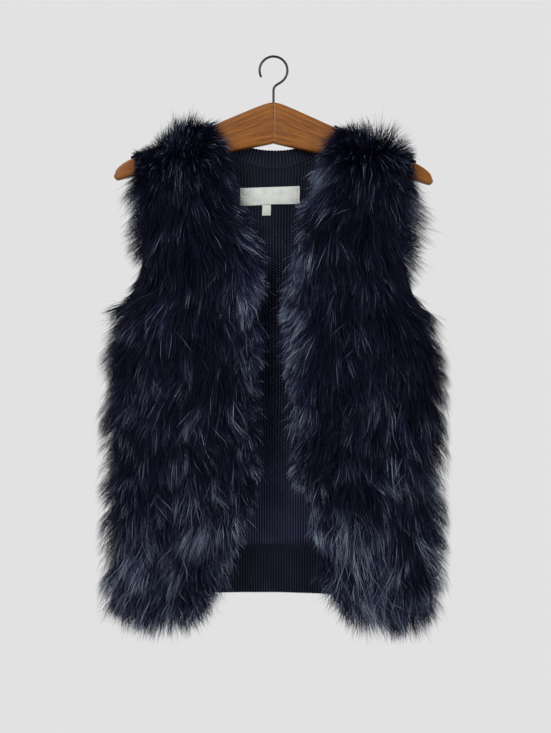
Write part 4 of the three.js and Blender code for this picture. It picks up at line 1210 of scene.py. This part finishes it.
class VEST_OT_hanger(bpy.types.Operator):
    """Shape the two glued halves of the wooden hanger and bend its wire hook"""

    bl_idname = "vest.hanger"
    bl_label = "Hanger"

    def execute(self, context):
        settings = context.scene.vest_hanger
        wood = material_once("Varnished stained wood", wood_material)
        # Stations down an arm, closer together at the glued face and round the tip.
        into_tip = ARM_REACH - TIP_STATIONS * np.cos(np.linspace(0.1, 0.5, 14) * math.pi)
        stations = np.unique(np.round(np.concatenate([
            [0.02, CHAMFER, 3], np.linspace(8, ARM_REACH - TIP_STATIONS, 30), into_tip,
        ]), 3))
        for name, side in SIDES:
            rings = [self.section(x, side, settings.thick / MM) for x in stations]
            piece = swept(f"arm_{name}", rings, wood, [x * MM for x in stations])
            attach(piece, "root")
            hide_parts(f"hanger_arm_{name}")
        self.hook(settings.wire)
        return {"FINISHED"}

    def section(self, x, side, thickness):
        """One rounded section of an arm: drooping underside, rounded edges and a round tip."""
        foot = -HANGER_UNDER_DROP - HANGER_UNDER_SLOPE * x - HANGER_UNDER_CURVE * (x / ARM_REACH) ** 2
        foot -= UNDER_MIDDLE * math.exp(-((x / UNDER_MIDDLE_WIDE) ** 2))
        into_tip, into_corner = (
            float(np.clip((x - (ARM_REACH - size)) / size, 0, 1)) for size in (HANGER_TIP_ROUND, TIP_CORNER)
        )
        tip_high, tip_power = TIP_HIGH, TIP_POWER
        top = foot + tip_high + float(wood_top(x) - foot - tip_high) * (1 - into_tip**tip_power) ** (1 / tip_power)
        foot += TIP_LIFT * (1 - math.sqrt(1 - into_corner**2))
        high = top - foot
        thick = thickness * (1 - HANGER_TIP_THIN * into_tip**2)
        turn = np.linspace(0, 2 * math.pi, ARM_SIDES, endpoint=False) + math.pi / ARM_SIDES
        y = np.sign(np.cos(turn)) * np.abs(np.cos(turn)) ** ARM_SQUARE * thick / 2
        z = np.sign(np.sin(turn)) * np.abs(np.sin(turn)) ** (1.4 * ARM_SQUARE * thick / high) * high / 2
        chamfer = CHAMFER - min(x, CHAMFER)
        y, z = y * (1 - 2 * chamfer / thick), z * (1 - 2 * chamfer / high)
        ring = placed(np.full(ARM_SIDES, side * x), float(middle_plane(x, 0)) + y, foot + high / 2 + z)
        return [tuple(p) for p in ring]

    def hook(self, wire):
        """The open curl, its neck and the stem, as rings round one path that starts in a domed end."""
        radius, half = HOOK_RADIUS * MM, wire / 2
        curl = half - radius
        turns = np.radians(np.linspace(HOOK_OPEN_ANGLE, HOOK_CLOSE_ANGLE, 60))
        path = [Vector((radius * math.cos(t), 0, curl + radius * math.sin(t))) for t in turns]
        end, heading = path[-1], Vector((math.sin(turns[-1]), 0, -math.cos(turns[-1])))
        stem = Vector((0, 0, curl - HOOK_NECK_DROP * MM))
        a, b = end + heading * HOOK_NECK_EASE * MM, stem + Vector((0, 0, HOOK_NECK_EASE * MM))
        for t in np.linspace(0, 1, 14)[1:]:
            path.append(end * (1 - t) ** 3 + a * 3 * t * (1 - t) ** 2 + b * 3 * t * t * (1 - t) + stem * t**3)
        foot = -(HANGER_TOP_DROP + STEM_SUNK) * MM
        path += [Vector((0, 0, stem.z + (foot - stem.z) * t)) for t in np.linspace(0, 1, 10)[1:]]
        aside = Vector((0, 1, 0))
        rings, lengths = [], []
        for k, place in enumerate(path):
            ahead = (path[min(k + 1, len(path) - 1)] - path[max(k - 1, 0)]).normalized()
            rings.append((place, ahead.cross(aside), half))
            lengths.append(0 if not k else lengths[-1] + (place - path[k - 1]).length)
        start, up, _ = rings[0]
        back = (path[0] - path[1]).normalized()
        dome = np.radians([80, 60, 40, 20])
        rings = [(start + back * half * math.sin(a), up, half * math.cos(a)) for a in dome] + rings
        lengths = [-half * math.sin(a) for a in dome] + lengths
        turn = np.linspace(0, 2 * math.pi, HOOK_SIDES, endpoint=False)
        around = [[tuple(p + aside * r * math.cos(t) + u * r * math.sin(t)) for t in turn] for p, u, r in rings]
        piece = swept("hook_wire", around, material_once("Plated steel wire", wire_material), lengths)
        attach(piece, "root")
        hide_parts("hanger_hook")


class VEST_PT_panel(bpy.types.Panel):
    bl_label = "Vest"
    bl_idname = "VEST_PT_panel"
    bl_space_type = "VIEW_3D"
    bl_region_type = "UI"
    bl_category = "Vest"

    def draw(self, context):
        for name, group in GROUPS.items():
            box = self.layout.box()
            for key in group.__annotations__:
                box.prop(getattr(context.scene, name), key)
        for operator in OPERATORS:
            self.layout.operator(operator.bl_idname)


GROUPS = {
    "vest_fur": FurSettings, "vest_knit": KnitSettings, "vest_hanger": HangerSettings, "vest_stage": StageSettings,
}
OPERATORS = (
    VEST_OT_stage, VEST_OT_hanger, VEST_OT_bands, VEST_OT_back, VEST_OT_labels, VEST_OT_fur, VEST_OT_fronts,
)
CLASSES = (*GROUPS.values(), *OPERATORS, VEST_PT_panel)


def register():
    for made in CLASSES:
        bpy.utils.register_class(made)
    for name, group in GROUPS.items():
        setattr(bpy.types.Scene, name, PointerProperty(type=group))


def unregister():
    for name in GROUPS:
        delattr(bpy.types.Scene, name)
    for made in reversed(CLASSES):
        bpy.utils.unregister_class(made)


def main():
    register()
    bpy.ops.vest.stage()
    bpy.ops.vest.hanger()
    bpy.ops.vest.bands()
    bpy.ops.vest.back()
    bpy.ops.vest.labels()
    bpy.ops.vest.fur()
    bpy.ops.vest.fronts()


if __name__ == "__main__":
    main()
